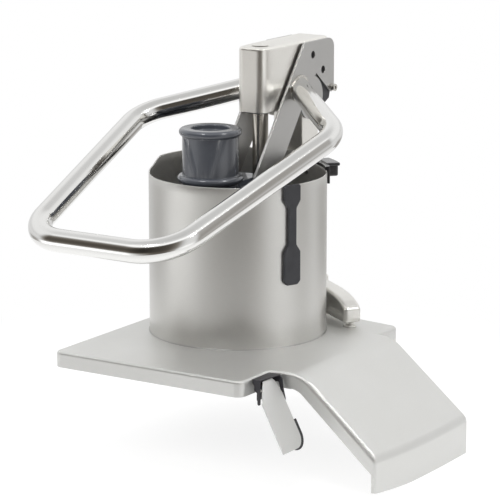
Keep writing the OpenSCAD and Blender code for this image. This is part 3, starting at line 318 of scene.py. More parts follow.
# Cast stainless alloy, shot blasted: matt with a faint pebble
castAlloy = makeFinish("blastedCasting", "ECEBE7", "E5E3DE", 30, 1.1, (0.3, 0.36), 0.3, 0.06, fleck=0.08,
                       metal=0.85)
# Sintered bronze bush
bushBronze = makeFinish("sinteredBronze", "C9A060", "A37B42", 8, 0.4, (0.35, 0.5), 0.2, fleck=0.2)
# Slate blue moulded polyamide, semi-gloss: broad soft highlights on its rounded lips
slatePlastic = makeFinish("mouldedSlatePolyamide", "474A51", "41444A", 18, 0.9, (0.2, 0.27), 0.08,
                          ior=1.53, skin=0.6)
# White acetal of the bushes and rollers
whitePlastic = makeFinish("turnedWhiteAcetal", "E9E8E3", "DEDCD5", 10, 0.6, (0.35, 0.45), 0.1,
                          ior=1.48)
# Black moulded polyamide of the catch
blackPlastic = makeFinish("mouldedBlackPolyamide", "232326", "1B1B1E", 10, 0.7, (0.2, 0.3), 0.12,
                          ior=1.53, skin=0.5)
# Black coated steel of the latch bracket and grip
blackSteel = makeFinish("blackCoatedSteel", "323136", "28272B", 12, 0.6, (0.3, 0.42), 0.2, 0.04, ior=1.5)
# Black moulded rubber of the strap: dull, slightly dusty
blackRubber = makeFinish("mouldedBlackRubber", "333337", "2C2C30", 9, 0.8, (0.45, 0.58), 0.25, 0.05,
                         ior=1.52)
# Grey rubber of the friction pads and the buffer, and of the dark discs of painted shade behind the plate holes
greyRubber = makeFinish("mouldedGreyRubber", "37373A", "2F2F33", 8, 0.7, (0.5, 0.62), 0.25, 0.05,
                        ior=1.52)


# Geometry Nodes trees

def startTree(name, sizes):
    # The sizes become the tree's inputs; lengths are floats
    tree = bpy.data.node_groups.new(name, "GeometryNodeTree")
    kinds = {float: "NodeSocketFloat", int: "NodeSocketInt", bool: "NodeSocketBool"}
    tree.interface.new_socket("Geometry", in_out="INPUT", socket_type="NodeSocketGeometry")
    for label, value in sizes.items():
        socket = tree.interface.new_socket(label, in_out="INPUT", socket_type=kinds[type(value)])
        socket.default_value = value
    tree.interface.new_socket("Finish", in_out="INPUT", socket_type="NodeSocketMaterial")
    tree.interface.new_socket("Geometry", in_out="OUTPUT", socket_type="NodeSocketGeometry")
    return tree, addNode(tree, "NodeGroupInput").outputs


def endTree(tree, given, geometry):
    whole = addNode(tree, "GeometryNodeRealizeInstances", {0: geometry})
    dressed = addNode(tree, "GeometryNodeSetMaterial", {0: whole, "Material": given["Finish"]})
    addNode(tree, "NodeGroupOutput", {0: dressed})
    return tree


def grown(name, mesh, tree, finish, sizes):
    # Runs a tree on a mesh with its own sizes, whose lengths are in millimetres, and returns the plain result
    settings = {"node_group": tree}
    for socket in tree.interface.items_tree:
        if socket.in_out == "INPUT" and socket.name in sizes:
            size = sizes[socket.name]
            settings[socket.identifier] = size * mm if socket.socket_type == "NodeSocketFloat" else size
        elif socket.name == "Finish":
            settings[socket.identifier] = finish
    result = shaped(mesh, ("NODES", settings))
    result.name = name
    return result


def pathTree():
    # A round bar or tube along a line of points, whose corners get a bend radius
    tree, given = startTree("tubeAlongPath", {
        "Radius": 0.01, "Bend Radius": 0.05, "Bend Steps": 24, "Round Steps": 48, "Ripple": 0.0,
        "Ripple Size": 0.002, "Caps": False})
    line = addNode(tree, "GeometryNodeMeshToCurve", {0: given["Geometry"]})
    bent = addNode(tree, "GeometryNodeFilletCurve", {
        "Curve": line, "Count": given["Bend Steps"], "Radius": given["Bend Radius"], "Limit Radius": True}, mode="POLY")
    section = addNode(tree, "GeometryNodeCurvePrimitiveCircle", {
        "Resolution": given["Round Steps"], "Radius": given["Radius"]})
    skin = addNode(tree, "GeometryNodeCurveToMesh", {
        "Curve": bent, "Profile Curve": section, "Fill Caps": given["Caps"]})
    wave = addNode(tree, "ShaderNodeTexNoise", {
        "Vector": addNode(tree, "GeometryNodeInputPosition"), "Scale": maths(tree, "DIVIDE", 1.0, given["Ripple Size"]),
        "Detail": 1.0})
    height = maths(tree, "MULTIPLY", maths(tree, "SUBTRACT", wave, 0.5), given["Ripple"])
    push = addNode(tree, "ShaderNodeVectorMath", {
        0: addNode(tree, "GeometryNodeInputNormal"), "Scale": height}, operation="SCALE")
    rippled = addNode(tree, "GeometryNodeSetPosition", {"Geometry": skin, "Offset": push})
    return endTree(tree, given, rippled)


def bar(tree, width, depth, sides):
    return addNode(tree, "GeometryNodeMeshCylinder", {
        "Vertices": sides, "Radius": maths(tree, "MULTIPLY", width, 0.5), "Depth": depth})


def lifted(tree, mesh, height, share=1.0):
    shift = addNode(tree, "ShaderNodeCombineXYZ", {2: maths(tree, "MULTIPLY", height, share)})
    return addNode(tree, "GeometryNodeTransform", {0: mesh, "Translation": shift})


def socketHead(tree, given):
    width, height = given["Head Diameter"], given["Head Height"]
    head = lifted(tree, bar(tree, width, height, 32), height, 0.5)
    keyMiddle = maths(tree, "ADD", maths(tree, "SUBTRACT", height, given["Key Depth"]), height)
    key = lifted(tree, bar(tree, given["Key Width"], maths(tree, "MULTIPLY", height, 2.0), 6), keyMiddle)
    return addNode(tree, "GeometryNodeMeshBoolean", {"Mesh 1": head, "Mesh 2": key}, operation="DIFFERENCE")


def domedHead(tree, given):
    dome = addNode(tree, "GeometryNodeMeshUVSphere", {"Segments": 28, "Rings": 16, "Radius": 0.5})
    size = addNode(tree, "ShaderNodeCombineXYZ", {
        0: given["Head Diameter"], 1: given["Head Diameter"], 2: maths(tree, "MULTIPLY", given["Head Height"], 2.0)})
    return addNode(tree, "GeometryNodeTransform", {0: dome, "Scale": size})


fastenerSizes = ["Head Diameter", "Head Height", "Shank Diameter", "Shank Length", "Key Width", "Key Depth"]


def fastenerTree(name, defaults, makeHead, sides):
    # Screws or rivets on points; each point's "way" is where its head faces
    tree, given = startTree(name, dict(zip(fastenerSizes, defaults)))
    head = makeHead(tree, given)
    length = given["Shank Length"]
    shank = lifted(tree, bar(tree, given["Shank Diameter"], length, sides), length, -0.5)
    whole = addNode(tree, "GeometryNodeJoinGeometry", {0: head})
    tree.links.new(shank.outputs[0], whole.inputs[0])
    points = addNode(tree, "GeometryNodeMeshToPoints", {0: given["Geometry"]})
    way = addNode(tree, "GeometryNodeInputNamedAttribute", {"Name": "way"}, data_type="FLOAT_VECTOR")
    turn = addNode(tree, "FunctionNodeAlignRotationToVector", {"Vector": way}, axis="Z")
    copies = addNode(tree, "GeometryNodeInstanceOnPoints", {"Points": points, "Instance": whole, "Rotation": turn})
    return endTree(tree, given, copies)


alongPath = pathTree()
screwsOnPoints = fastenerTree("screwsOnPoints", (0.008, 0.004, 0.005, 0.01, 0.004, 0.002), socketHead, 24)
rivetsOnPoints = fastenerTree("rivetsOnPoints", (0.007, 0.001, 0.004, 0.004), domedHead, 20)
print("node trees made")


def lineMesh(points, looped=False):
    count = len(points)
    edges = [(i, (i + 1) % count) for i in range(count if looped else count - 1)]
    return meshFrom("line", points, [], edges)


def fasteners(tree, places, ways, sizes, finish):
    # Sizes are head diameter and height, shank diameter and length, and a screw's key width and depth
    mesh = meshFrom("points", places, [])
    way = mesh.attributes.new("way", "FLOAT_VECTOR", "POINT")
    for item, value in zip(way.data, ways):
        item.vector = value
    return grown("fasteners", mesh, tree, finish, dict(zip(fastenerSizes, sizes)))


def screwPiece(node, places, ways, sizes, finish=brightSteel):
    mesh = fasteners(screwsOnPoints, places, ways, sizes, finish)
    addPiece(node, shaped(mesh, rounding(0.3, 2, 35)), finish, sharp=30)


# Lid and chute hood, one pressed sheet

lid = {"left": 116, "front": 194, "right": 128, "rear": 107, "rightRear": 144, "rearCorner": 150, "height": 17.5,
       "rearReach": 12, "rearFlat": 62, "sheet": 2, "corner": 10, "rearBend": 30, "edgeRound": 3.4, "hole": 100.15}
chute = {"front": 134, "rear": 64, "reach": 257, "slope": 41, "drop": 78, "bend": 40, "wall": 17, "endHeight": 38,
         "endTurn": 2.3, "endWiden": 4.3, "rearDeeper": 3.8, "endSag": 3.8, "endReturn": 5, "endBow": 2.6,
         "edgeRound": 6.5, "roundFrom": 165, "roundUnder": 5, "bendSteps": 8, "endSteps": 16}


def lidSkin():
    slope = radians(chute["slope"])
    fall = tan(slope)
    top, reach = lid["height"], chute["reach"]
    bendX = reach - chute["drop"] / fall - chute["bend"] * tan(slope / 2)
    back = lid["rear"] + lid["rearReach"]
    corners = [(-lid["left"], -lid["front"]), (lid["right"], -lid["front"]), (lid["right"], -chute["front"]),
               (bendX, -chute["front"]), (bendX, chute["rear"]), (lid["rightRear"], chute["rear"]),
               (lid["rearCorner"], lid["rear"]), (lid["rearFlat"], back), (-lid["rearFlat"], back),
               (-lid["left"], lid["rear"])]
    corner, bend = lid["corner"], lid["rearBend"]
    plan = roundedLine(corners, [corner] * 3 + [0, 0, 0] + [corner, bend, bend, corner])
    mouth = next(i for i, p in enumerate(plan) if abs(p[0] - bendX) < 0.01 and p[1] < 0)
    vertices = [(x, y, z) for z in (top, 0) for x, y in plan]
    count = len(plan)
    faces = [list(range(count))]
    faces += [[count + i, count + (i + 1) % count, (i + 1) % count, i] for i in range(count) if i != mouth]

    def vertex(x, y, z):
        vertices.append((x, y, z))
        return len(vertices) - 1

    # The roof's line at the front and rear side walls, each with its lower edge
    upper = [(mouth, mouth + 1)]
    lower = [(count + mouth, count + mouth + 1)]
    for k in range(1, chute["bendSteps"] + 1):
        for line, radius in ((upper, chute["bend"]), (lower, chute["bend"] - chute["wall"])):
            x, z = onCircle(radius, 90 - chute["slope"] * k / chute["bendSteps"], (bendX, top - chute["bend"]))
            line.append(tuple(vertex(x, y, z) for y in (-chute["front"], chute["rear"])))
    for (ua, ub), (va, vb), (la, lb), (ma, mb) in zip(upper, upper[1:], lower, lower[1:]):
        faces += [[ua, va, vb, ub], [la, ma, va, ua], [mb, lb, ub, vb]]
    # The straight roof and the bowed end face, whose rear corner reaches further
    roofEnd = top - chute["drop"]
    rearEnd = chute["rear"] + chute["endWiden"]
    upperLine, lowerLine = [], []
    for k in range(chute["endSteps"] + 1):
        share = k / chute["endSteps"]
        bulge = 4 * share * (1 - share)
        turn = share * chute["endTurn"]
        out = turn + chute["endBow"] * bulge
        y = share * rearEnd - (1 - share) * chute["front"]
        low = chute["endHeight"] + share * chute["rearDeeper"] + chute["endSag"] * bulge
        upperLine.append(vertex(reach + out, y, roofEnd - out * fall))
        lowerLine.append(vertex(reach + out, y, roofEnd - turn * fall - low))
    faces.append([upper[-1][0]] + upperLine + [upper[-1][1]])
    # The side walls, each with its turned back end
    for side in (0, -1):
        x0, startY, z0 = vertices[lower[-1][side]]
        cornerX, cornerY, cornerZ = vertices[lowerLine[side]]
        x = cornerX - chute["endReturn"]
        y = cornerY + (startY - cornerY) * chute["endReturn"] / (cornerX - x0)
        wall = [lower[-1][side], vertex(x, y, z0 - (x - x0) * fall), vertex(x, y, cornerZ), lowerLine[side],
                upperLine[side], upper[-1][side]]
        faces.append(wall[::-1] if side else wall)
    faces += [[la, lb, ub, ua] for la, lb, ua, ub in zip(lowerLine, lowerLine[1:], upperLine, upperLine[1:])]
    return meshFrom("lidSkin", vertices, faces)


def weighEdges(mesh):
    # Writes each sharp edge's share of the rounding: the hood's roof edges are rounder than the rest
    shares = mesh.attributes.new("bevel_weight_edge", "FLOAT", "EDGE")
    bm = opened(mesh)
    bm.normal_update()
    for edge in bm.edges:
        if len(edge.link_faces) == 2 and edge.calc_face_angle() > radians(30):
            middle = (edge.verts[0].co + edge.verts[1].co) / 2 / mm
            onRoof = middle.x > chute["roundFrom"] and middle.z > lid["height"] - chute["drop"] - chute["roundUnder"]
            shares.data[edge.index].value = 1.0 if onRoof else lid["edgeRound"] / chute["edgeRound"]
    bm.free()
    return mesh


lidForm = shaped(weighEdges(lidSkin()),
                 ("BEVEL", {"width": chute["edgeRound"] * mm, "segments": 6, "limit_method": "WEIGHT",
                            "use_clamp_overlap": False}),
                 ("SOLIDIFY", {"thickness": lid["sheet"] * mm, "offset": -1.0, "use_even_offset": True}))
addPiece("lid_shell", cut(lidForm, roundPlug(lid["hole"], -20, 40, steps=192)), lidSteel, name="lidAndChuteHood")
print("lid made")


# Hopper: a ground tube with a rim that rises behind the pusher's gear

hopper = {"radius": 100, "wall": 1.5, "foot": 9.5, "rim": 198.5, "rise": 10.5, "steps": 288, "rows": 20,
          "weld": 0.75, "weldRadius": 100.4, "weldUp": 0.3, "soften": (-1.2, -0.4, 0.4, 1.2),
          # The rise's share by the angle from +X
          "rimLine": [(59.3, 0.0), (68.4, 1.0), (185.2, 1.0), (197.5, 0.25), (215.5, 0.0)]}


def rimHeight(angle):
    share = 0.0
    for (a0, s0), (a1, s1) in zip(hopper["rimLine"], hopper["rimLine"][1:]):
        if a0 <= angle <= a1:
            share = s0 + (s1 - s0) * (angle - a0) / (a1 - a0)
    return hopper["rim"] + hopper["rise"] * share


def hopperWall():
    steps, rows, wall, outer, foot = (hopper[k] for k in ("steps", "rows", "wall", "radius", "foot"))
    half = wall / 2
    vertices = []
    for k in range(steps):
        angle = 360 * k / steps
        top = sum(rimHeight((angle + d) % 360) for d in hopper["soften"]) / len(hopper["soften"])
        heights = [foot + (top - half - foot) * i / rows for i in range(rows + 1)]
        line = [(outer, z) for z in heights]
        line += [onCircle(half, a, (outer - half, top - half)) for a in (30, 60, 90, 120, 150)]
        line += [(outer - wall, z) for z in reversed(heights)]
        vertices += [(*onCircle(r, angle), z) for r, z in line]
    depth = len(line)
    faces = []
    for k in range(steps):
        a, b = k * depth, ((k + 1) % steps) * depth
        for i in range(depth):
            j = (i + 1) % depth
            faces.append([a + i, b + i, b + j, a + j])
    return meshFrom("hopperWall", vertices, faces)


addPiece("hopper_shell", hopperWall(), hopperSteel, even=False, name="hopperWall")
weldLine = [(x, y, lid["height"] + hopper["weldUp"]) for x, y in ringPoints(hopper["weldRadius"], 120)]
footWeld = grown("hopperFootWeld", lineMesh(weldLine, True), alongPath, plateSteel, {
    "Radius": hopper["weld"], "Bend Radius": 0, "Round Steps": 10, "Ripple": 0.5, "Ripple Size": 2})
addPiece(None, footWeld, plateSteel, even=False, name="hopperFootWeld", body="head")
cadPiece("hopper_foot_ring", lidSteel, 0.3, angle=30, sharp=40)

# Catch at the rim, its rivets, and the strap with its studs
catch = {"rivetAngles": (40, 70), "rivetHeight": 187.5, "head": 7, "dome": 1.3, "shank": 4, "length": 4.4,
         # Each block's inner and outer radius, lower and upper height, first and last angle, and edge rounding
         "blocks": [(100.5, 103.5, 183.5, 203.3, 35, 74, 0.8), (98.1, 102.2, 198.9, 202.8, 36, 57, 0.7),
                    (102, 116, 188.5, 202.6, 44.5, 60, 2.2), (101.5, 117.6, 200.6, 204.4, 43.5, 61, 1.4)]}
strap = {"angle": -22, "width": 21.5, "neck": 10.5, "thick": 4, "low": 87.5, "top": 199.5, "neckLow": 132.5,
         "padHeight": 18, "taper": 8, "chamfer": 4, "stand": 0.4, "edge": 1.3, "studs": (105.5, 190.5), "studLength": 4,
         "radii": [3, 3, 4, 5, 5, 4, 1.5, 1.5], "firstStrip": 1.5, "strip": 1.6}


def wallRivets(node, places, length):
    inner = hopper["radius"] - hopper["wall"] - 0.05
    mesh = fasteners(rivetsOnPoints, [(*onCircle(inner, a), z) for a, z in places],
                     [-Vector((*onCircle(1, a), 0)) for a, z in places],
                     (catch["head"], catch["dome"], catch["shank"], length), brightSteel)
    addPiece(node, mesh, brightSteel, sharp=40)


def sectorBlock(r0, r1, z0, z1, a0, a1, edge):
    outline = arcPoints((0, 0), r1, a0, a1, 1.5) + arcPoints((0, 0), r0, a1, a0, 1.5)
    return shaped(prism("sectorBlock", outline, z0, z1), rounding(edge, 4))


addPiece("rim_catch", joined("rimCatch", *(sectorBlock(*sizes) for sizes in catch["blocks"])), blackPlastic)
wallRivets("rim_catch_rivets", [(a, catch["rivetHeight"]) for a in catch["rivetAngles"]], catch["length"])
wallRivets("strap_studs", [(strap["angle"], z) for z in strap["studs"]], strap["studLength"])


def strapForm():
    # Cut flat, divided into upright strips and wrapped round the hopper
    w, n, c = strap["width"] / 2, strap["neck"] / 2, strap["chamfer"]
    low, top, padH, taper = strap["low"], strap["top"], strap["padHeight"], strap["taper"]
    side = [(w - c, low), (w, low + c), (w, strap["neckLow"] - taper), (n, strap["neckLow"]),
            (n, top - padH - taper), (w, top - padH), (w, top - c / 2), (w - c / 2, top)]
    outline = roundedLine(side + [(-s, z) for s, z in reversed(side)], strap["radii"] + strap["radii"][::-1])
    flat = prism("strapFlat", outline, -strap["thick"], 0, lambda s, z, t: (s, t, z))
    bm = opened(shaped(flat, rounding(strap["edge"], 4)))
    s = strap["firstStrip"] - w
    while s < w:
        bmesh.ops.bisect_plane(bm, geom=bm.verts[:] + bm.edges[:] + bm.faces[:],
                               plane_co=(s * mm, 0, 0), plane_no=(1, 0, 0))
        s += strap["strip"]
    for v in bm.verts:
        radius = (hopper["radius"] + strap["stand"]) * mm - v.co.y
        v.co.xy = onCircle(radius, strap["angle"] + degrees(v.co.x / (hopper["radius"] * mm)))
    bmesh.ops.recalc_face_normals(bm, faces=bm.faces)
    return closed(bm, "rubberStrap")


addPiece("rubber_strap", strapForm(), blackRubber, sharp=70)
print("hopper made")


# Yoke and post

yoke = {"padX": 101.83, "padY": 76.73, "lidUnder": 15.5, "postY": 124, "armWidth": 21, "armEnd": 9, "armTurn": 34.3,
        "armTop": [(0, 39.6), (5, 43.4), (12, 47), (22, 50.2), (34, 52.4), (50, 53.8), (75, 54.6), (116, 55)],
        "low": 22.6, "edge": 3.6, "middle": 34, "grain": 1.3, "soften": 7,
        "padLine": [(3.15, 17.5), (7.3, 17.5), (7.7, 17.9), (7.7, 19.1), (7.3, 19.5), (4.2, 19.6), (4.2, 23),
                    (3.15, 23)],
        "bushLine": [(14.05, 27.5), (16.6, 27.5), (17, 27.9), (17, 55.1), (16.6, 55.5), (14.4, 55.5), (14.05, 55.1)],
        "armScrew": (10, 4, 6, 17.6, 5, 2.4), "spindleScrewUp": 21.5, "spindleScrew": (13, 6, 8, 25.6, 6, 3.5)}


def yokeArm(side):
    # A straight arm from the pad to the middle block, whose back rises in a soft curve
    turn = radians(yoke["armTurn"])
    along = Vector((-side * cos(turn), sin(turn)))
    across = Vector((-along.y, along.x))
    tip = Vector((side * yoke["padX"], yoke["padY"])) - along * yoke["armEnd"]
    line = [(0, yoke["low"]), (yoke["armTop"][-1][0], yoke["low"])] + yoke["armTop"][::-1]
    half = yoke["armWidth"] / 2
    arm = prism("yokeArm", line, -half, half, lambda u, z, v: (*(tip + along * u - across * v), z))
    return shaped(arm, rounding(yoke["edge"], 4, 60))


def yokeForm():
    # Touching solids melt into one skin with soft edges and fillets, as a casting has
    reach, far = yoke["middle"], 400
    sides = [prism("yokeSide", [(s * reach, -far), (s * far, -far), (s * far, far), (s * reach, far)][::s], -far, far)
             for s in (-1, 1)]
    whole = joined("rearYoke", cut(cadForm("rear_yoke"), *sides), yokeArm(1), yokeArm(-1))
    return shaped(whole, ("REMESH", {"mode": "VOXEL", "voxel_size": yoke["grain"] * mm, "use_smooth_shade": True}),
                  ("SMOOTH", {"factor": 0.5, "iterations": yoke["soften"]}))


addPiece("rear_yoke", yokeForm(), castAlloy, even=False)
pads = [lathe("yokePad", yoke["padLine"], (s * yoke["padX"], yoke["padY"], 0), steps=48) for s in (-1, 1)]
addPiece("yoke_pads", joined("yokePads", *pads), castAlloy, sharp=35)
screwPiece("yoke_screws", [(s * yoke["padX"], yoke["padY"], yoke["lidUnder"]) for s in (-1, 1)],
           [(0, 0, -1)] * 2, yoke["armScrew"])
addPiece("spindle_bush", lathe("spindleBush", yoke["bushLine"], (0, yoke["postY"], 0)), bushBronze, sharp=30)
cadPiece("post_spindle", brightSteel, 0.5)
screwPiece("spindle_screw", [(0, yoke["postY"], yoke["spindleScrewUp"])], [(0, 0, -1)], yoke["spindleScrew"])
cadPiece("rear_post", casingSteel, 0.5)
cadPiece("post_head_block", castAlloy, 0.6)
print("yoke and post made")


# Head casing: a folded sheet cap with rounded corners

rodY = 47
casing = {"side": [(8.5, 24), (11, 24.3), (13.3, 25.3), (15.4, 27.1), (17, 29.7), (18.2, 33.2), (19, 37.8),
                   (19.6, 43.4), (20, 50), (20.4, 60), (20.6, 76)],
          "front": 24, "rear": 163, "low": 260.5, "top": 335, "corner": 6, "sheet": 2, "topRound": 3.4,
          "footRound": 2.2, "stepY": 142, "stepZ": 283.5, "sleeve": 15.15, "pivotY": 116, "pivotZ": 269.1,
          "pivotBore": 6.15, "flangeRoom": 13, "flangeFrom": 19.6,
          "blockGap": [(-17, 109), (17, 109), (17, 136.15), (-17, 136.15)],
          "screwX": 18.6, "screwY": 134, "screwZ": 270.5, "screwBore": 4.4, "screw": (8.5, 2, 5, 16, 3, 1.2),
          "sleeveLine": [(13, 260.5), (15, 260.5), (15, 335), (9.4, 335), (9.4, 334), (13, 334)],
          "bush": (9.05, 12.85), "bushEnds": [(260.5, 275.5), (320, 333.8)], "cornerFrom": 20}


def eased(points, steps):
    # Adds points on a soft curve through the given ones
    ends = [points[0]] + points + [points[-1]]
    result = []
    for a, b, c, d in zip(ends, ends[1:], ends[2:], ends[3:]):
        for t in (k / steps for k in range(steps)):
            result.append(tuple(0.5 * (2 * q + (r - p) * t + (2 * p - 5 * q + 4 * r - w) * t * t
                                       + (3 * q - p - 3 * r + w) * t ** 3) for p, q, r, w in zip(a, b, c, d)))
    return result + [points[-1]]


def casingBlock(inset, topRound):
    # The front is narrow, and the sides widen from it in a soft curve
    side = [(x - inset, max(y, casing["front"] + inset)) for x, y in eased(casing["side"], 3)]
    rear, wide = casing["rear"] - inset, side[-1][0]
    half = roundedLine([(wide, rear - casing["cornerFrom"]), (wide, rear), (0, rear)], [0, casing["corner"], 0],
                       False, 7.5)
    right = side + half[1:-1]
    low, high = casing["low"] + inset, casing["top"] - inset
    bm = opened(prism("casingBlock", right + [(-x, y) for x, y in reversed(right)], low, high))
    for level, offset, steps in ((high, topRound, 5), (low, casing["footRound"], 4)):
        rim = [e for e in bm.edges if all(abs(v.co.z - level * mm) < 1e-5 for v in e.verts)]
        if topRound:
            bmesh.ops.bevel(bm, geom=rim, offset=offset * mm, segments=steps, profile=0.5, affect="EDGES",
                            clamp_overlap=False)
    far, stepY = 50, casing["stepY"] - inset
    step = prism("casingStep", [(-far, stepY), (far, stepY), (far, rear + far), (-far, rear + far)], low - far,
                 casing["stepZ"] + inset)
    return cut(closed(bm, "casingBlock"), step)


blockGap = prism("blockGap", casing["blockGap"], 250, 263.5)
pivot = (casing["pivotY"], casing["pivotZ"])
flangeRooms = [crossBar(casing["flangeRoom"], *pivot, *ends)
               for ends in ((casing["flangeFrom"], 40), (-40, -casing["flangeFrom"]))]
casingForm = cut(casingBlock(0, casing["topRound"]), casingBlock(casing["sheet"], 0), *flangeRooms,
                 roundPlug(casing["sleeve"], 250, 345, (0, rodY)), crossBar(casing["pivotBore"], *pivot),
                 crossBar(casing["screwBore"], casing["screwY"], casing["screwZ"]), blockGap)
addPiece("head_casing", casingForm, casingSteel, sharp=60)
screwPiece("casing_screws", [(s * casing["screwX"], casing["screwY"], casing["screwZ"]) for s in (1, -1)],
           [(1, 0, 0), (-1, 0, 0)], casing["screw"])


def rodLathe(node, profile, finish, sharp=30):
    addPiece(node, lathe(node, profile, (0, rodY, 0)), finish, sharp)


# The sleeve's top turns in to keep the bush's end from sight
rodLathe("guide_sleeve", casing["sleeveLine"], casingSteel)
inner, outer = casing["bush"]
bushes = [lathe("guideBush", [(inner, z0), (outer, z0), (outer, z1), (inner, z1)], (0, rodY, 0))
          for z0, z1 in casing["bushEnds"]]
addPiece("guide_bushes", joined("guideBushes", *bushes), whitePlastic, sharp=30)
print("casing made")


# Handle: the loop of polished tube, welded to two plates

loop = {"tilt": 18.4, "rise": 22.5, "points": [(26, 22), (130, 118.5), (89, 402.5)], "radius": 12.5, "bend": 50,
        "plateOuter": 26.15, "intoPlate": 13, "weld": 1.9, "weldUp": 0.5}
plate = {"inner": 23, "outer": 26, "disc": 25, "crankW": 40.3, "slope": 52.8, "pin": (-106.863, -89.669),
         "pinBore": 2.65, "back": 3, "nose": 9.5, "noseHalf": 62, "lobe": (45, 6), "lobeR": 5, "notchSlope": 38.3,
         # The disc radius here, and the disc span across below, are for dark discs of painted shade that sit behind the
         # plate holes
         "notchLen": 40, "tipW": 2.4, "top": 64.4, "rear": 50, "topR": 12, "cutEdge": 0.35, "padDisc": 6.4,
         "padScrew": (161, 275.1),
         "holes": [((3, 48.8), 4.25), ((25.5, 29.2), 4.25), ((0, 0), 8.65), ((45, 6), 2.65)],
         "padDiscX": (21, 22.9), "padScrewSize": (8.5, 5, 5, 5.5, 4, 3),
         "shaftLine": [(0, -27.8), (5.4, -27.8), (6, -27.2), (6, 27.2), (5.4, 27.8), (0, 27.8)]}
tilt = radians(loop["tilt"])
run = (Vector(loop["points"][1]) - Vector(loop["points"][0])).normalized()


def loopPoint(x, u, n):
    return (x, pivot[0] - u * cos(tilt) - n * sin(tilt), pivot[1] - u * sin(tilt) + n * cos(tilt))


def loopTube():
    first, *bends = loop["points"]
    half = [tuple(Vector(first) - run * loop["intoPlate"])] + bends
    points = half + [(-x, u) for x, u in reversed(half)]
    mesh = grown("handleTube", lineMesh([loopPoint(x, u, loop["rise"]) for x, u in points]), alongPath, tubeSteel, {
        "Radius": loop["radius"], "Bend Radius": loop["bend"], "Bend Steps": 28, "Round Steps": 72})
    # The two ends are cut flat where they meet the plates
    for v in mesh.vertices:
        if abs(v.co.x) < loop["plateOuter"] * mm:
            side = 1 if v.co.x > 0 else -1
            slide = (loop["plateOuter"] * mm - abs(v.co.x)) / run.x
            v.co += Vector((side * run.x, -run.y * cos(tilt), -run.y * sin(tilt))) * slide
    return mesh


def weldLoop(side):
    # The tube meets the plate at a slant, so the weld is an oval
    ring = [loopPoint(side * (loop["plateOuter"] + loop["weldUp"]), loop["points"][0][1] + u / run.x, loop["rise"] + n)
            for u, n in ringPoints(loop["radius"], 72)]
    return grown("handleWeld", lineMesh(ring, True), alongPath, weldSteel, {
        "Radius": loop["weld"], "Bend Radius": 0, "Round Steps": 12, "Ripple": 1.1, "Ripple Size": 2.2})


addPiece("handle_tube", loopTube(), tubeSteel, even=False)
addPiece(None, joined("handleWelds", weldLoop(1), weldLoop(-1)), weldSteel, even=False, name="handleWelds",
         body="handle")


def plateOutline():
    slope, notch = radians(plate["slope"]), radians(plate["notchSlope"])
    along = Vector((cos(slope), sin(slope)))
    across = Vector((-along.y, along.x))
    pin, half = Vector(plate["pin"]), plate["crankW"] / 2
    end1, end2 = (pin + along * plate["back"] + across * s * half for s in (1, -1))
    edge = Vector(plate["lobe"]) - plate["lobeR"] * Vector((sin(notch), cos(notch)))
    tip = edge + plate["notchLen"] * Vector((-cos(notch), sin(notch)))
    disc0 = degrees(atan2(tip.y - plate["tipW"], tip.x - plate["tipW"]))
    disc1 = plate["slope"] + 90 + degrees(acos((pin.dot(across) - half) / plate["disc"]))
    nose = plate["slope"] + 180
    line = [(end1.x + (plate["top"] - end1.y) / tan(slope), plate["top"])]
    line += arcPoints((plate["rear"] - plate["topR"], plate["top"] - plate["topR"]), plate["topR"], 90, 0)
    line += arcPoints(plate["lobe"], plate["lobeR"], 0, -90 - plate["notchSlope"], 9)
    line += [tuple(tip)] + arcPoints((0, 0), plate["disc"], disc0, disc1 - 360, 3) + [tuple(end2)]
    line += arcPoints(pin, plate["nose"], nose + plate["noseHalf"], nose - plate["noseHalf"], 6) + [tuple(end1)]
    return line[::-1]


def plateBar(radius, at, low=-60, high=60):
    return crossBar(radius, pivot[0] + at[0], pivot[1] + at[1], low, high)


for node, low, high in (("side_plate_right", plate["inner"], plate["outer"]),
                        ("side_plate_left", -plate["outer"], -plate["inner"])):
    sheet = prism(node, plateOutline(), low, high, lambda u, v, w: (w, pivot[0] + u, pivot[1] + v))
    bars = [plateBar(radius, at) for at, radius in plate["holes"] + [(plate["pin"], plate["pinBore"])]]
    addPiece(node, shaped(cut(sheet, *bars), rounding(plate["cutEdge"])), plateSteel, sharp=60)
addPiece("pivot_shaft", lathe("pivotShaft", plate["shaftLine"], (0, *pivot), "X", 64), brightSteel, sharp=30)
cadPiece("pivot_bushes", whitePlastic, 0.2)
cadPiece("pivot_rings", blackSteel, 0.3)
# Dark grey rubber discs between the casing and the plates, behind the plates' two front holes, are painted shade: they
# make the holes look as dark as the shaded gap behind them
near, far = plate["padDiscX"]
holeShadeDiscs = [plateBar(plate["padDisc"], at, *ends) for at, radius in plate["holes"][:2]
            for ends in ((near, far), (-far, -near))]
addPiece("friction_pads", joined("frictionPads", shaped(cadForm("friction_pads"), rounding(0.5)), *holeShadeDiscs),
         greyRubber, sharp=40)
screwPiece("pad_screws", [(s * loop["plateOuter"], *plate["padScrew"]) for s in (1, -1)],
           [(1, 0, 0), (-1, 0, 0)], plate["padScrewSize"])
cadPiece("crank_studs", brightSteel, 0.3)
cadPiece("crank_roller_right", whitePlastic, 0.4)
cadPiece("crank_roller_left", whitePlastic, 0.4)
print("handle made")


# Pusher and its rod

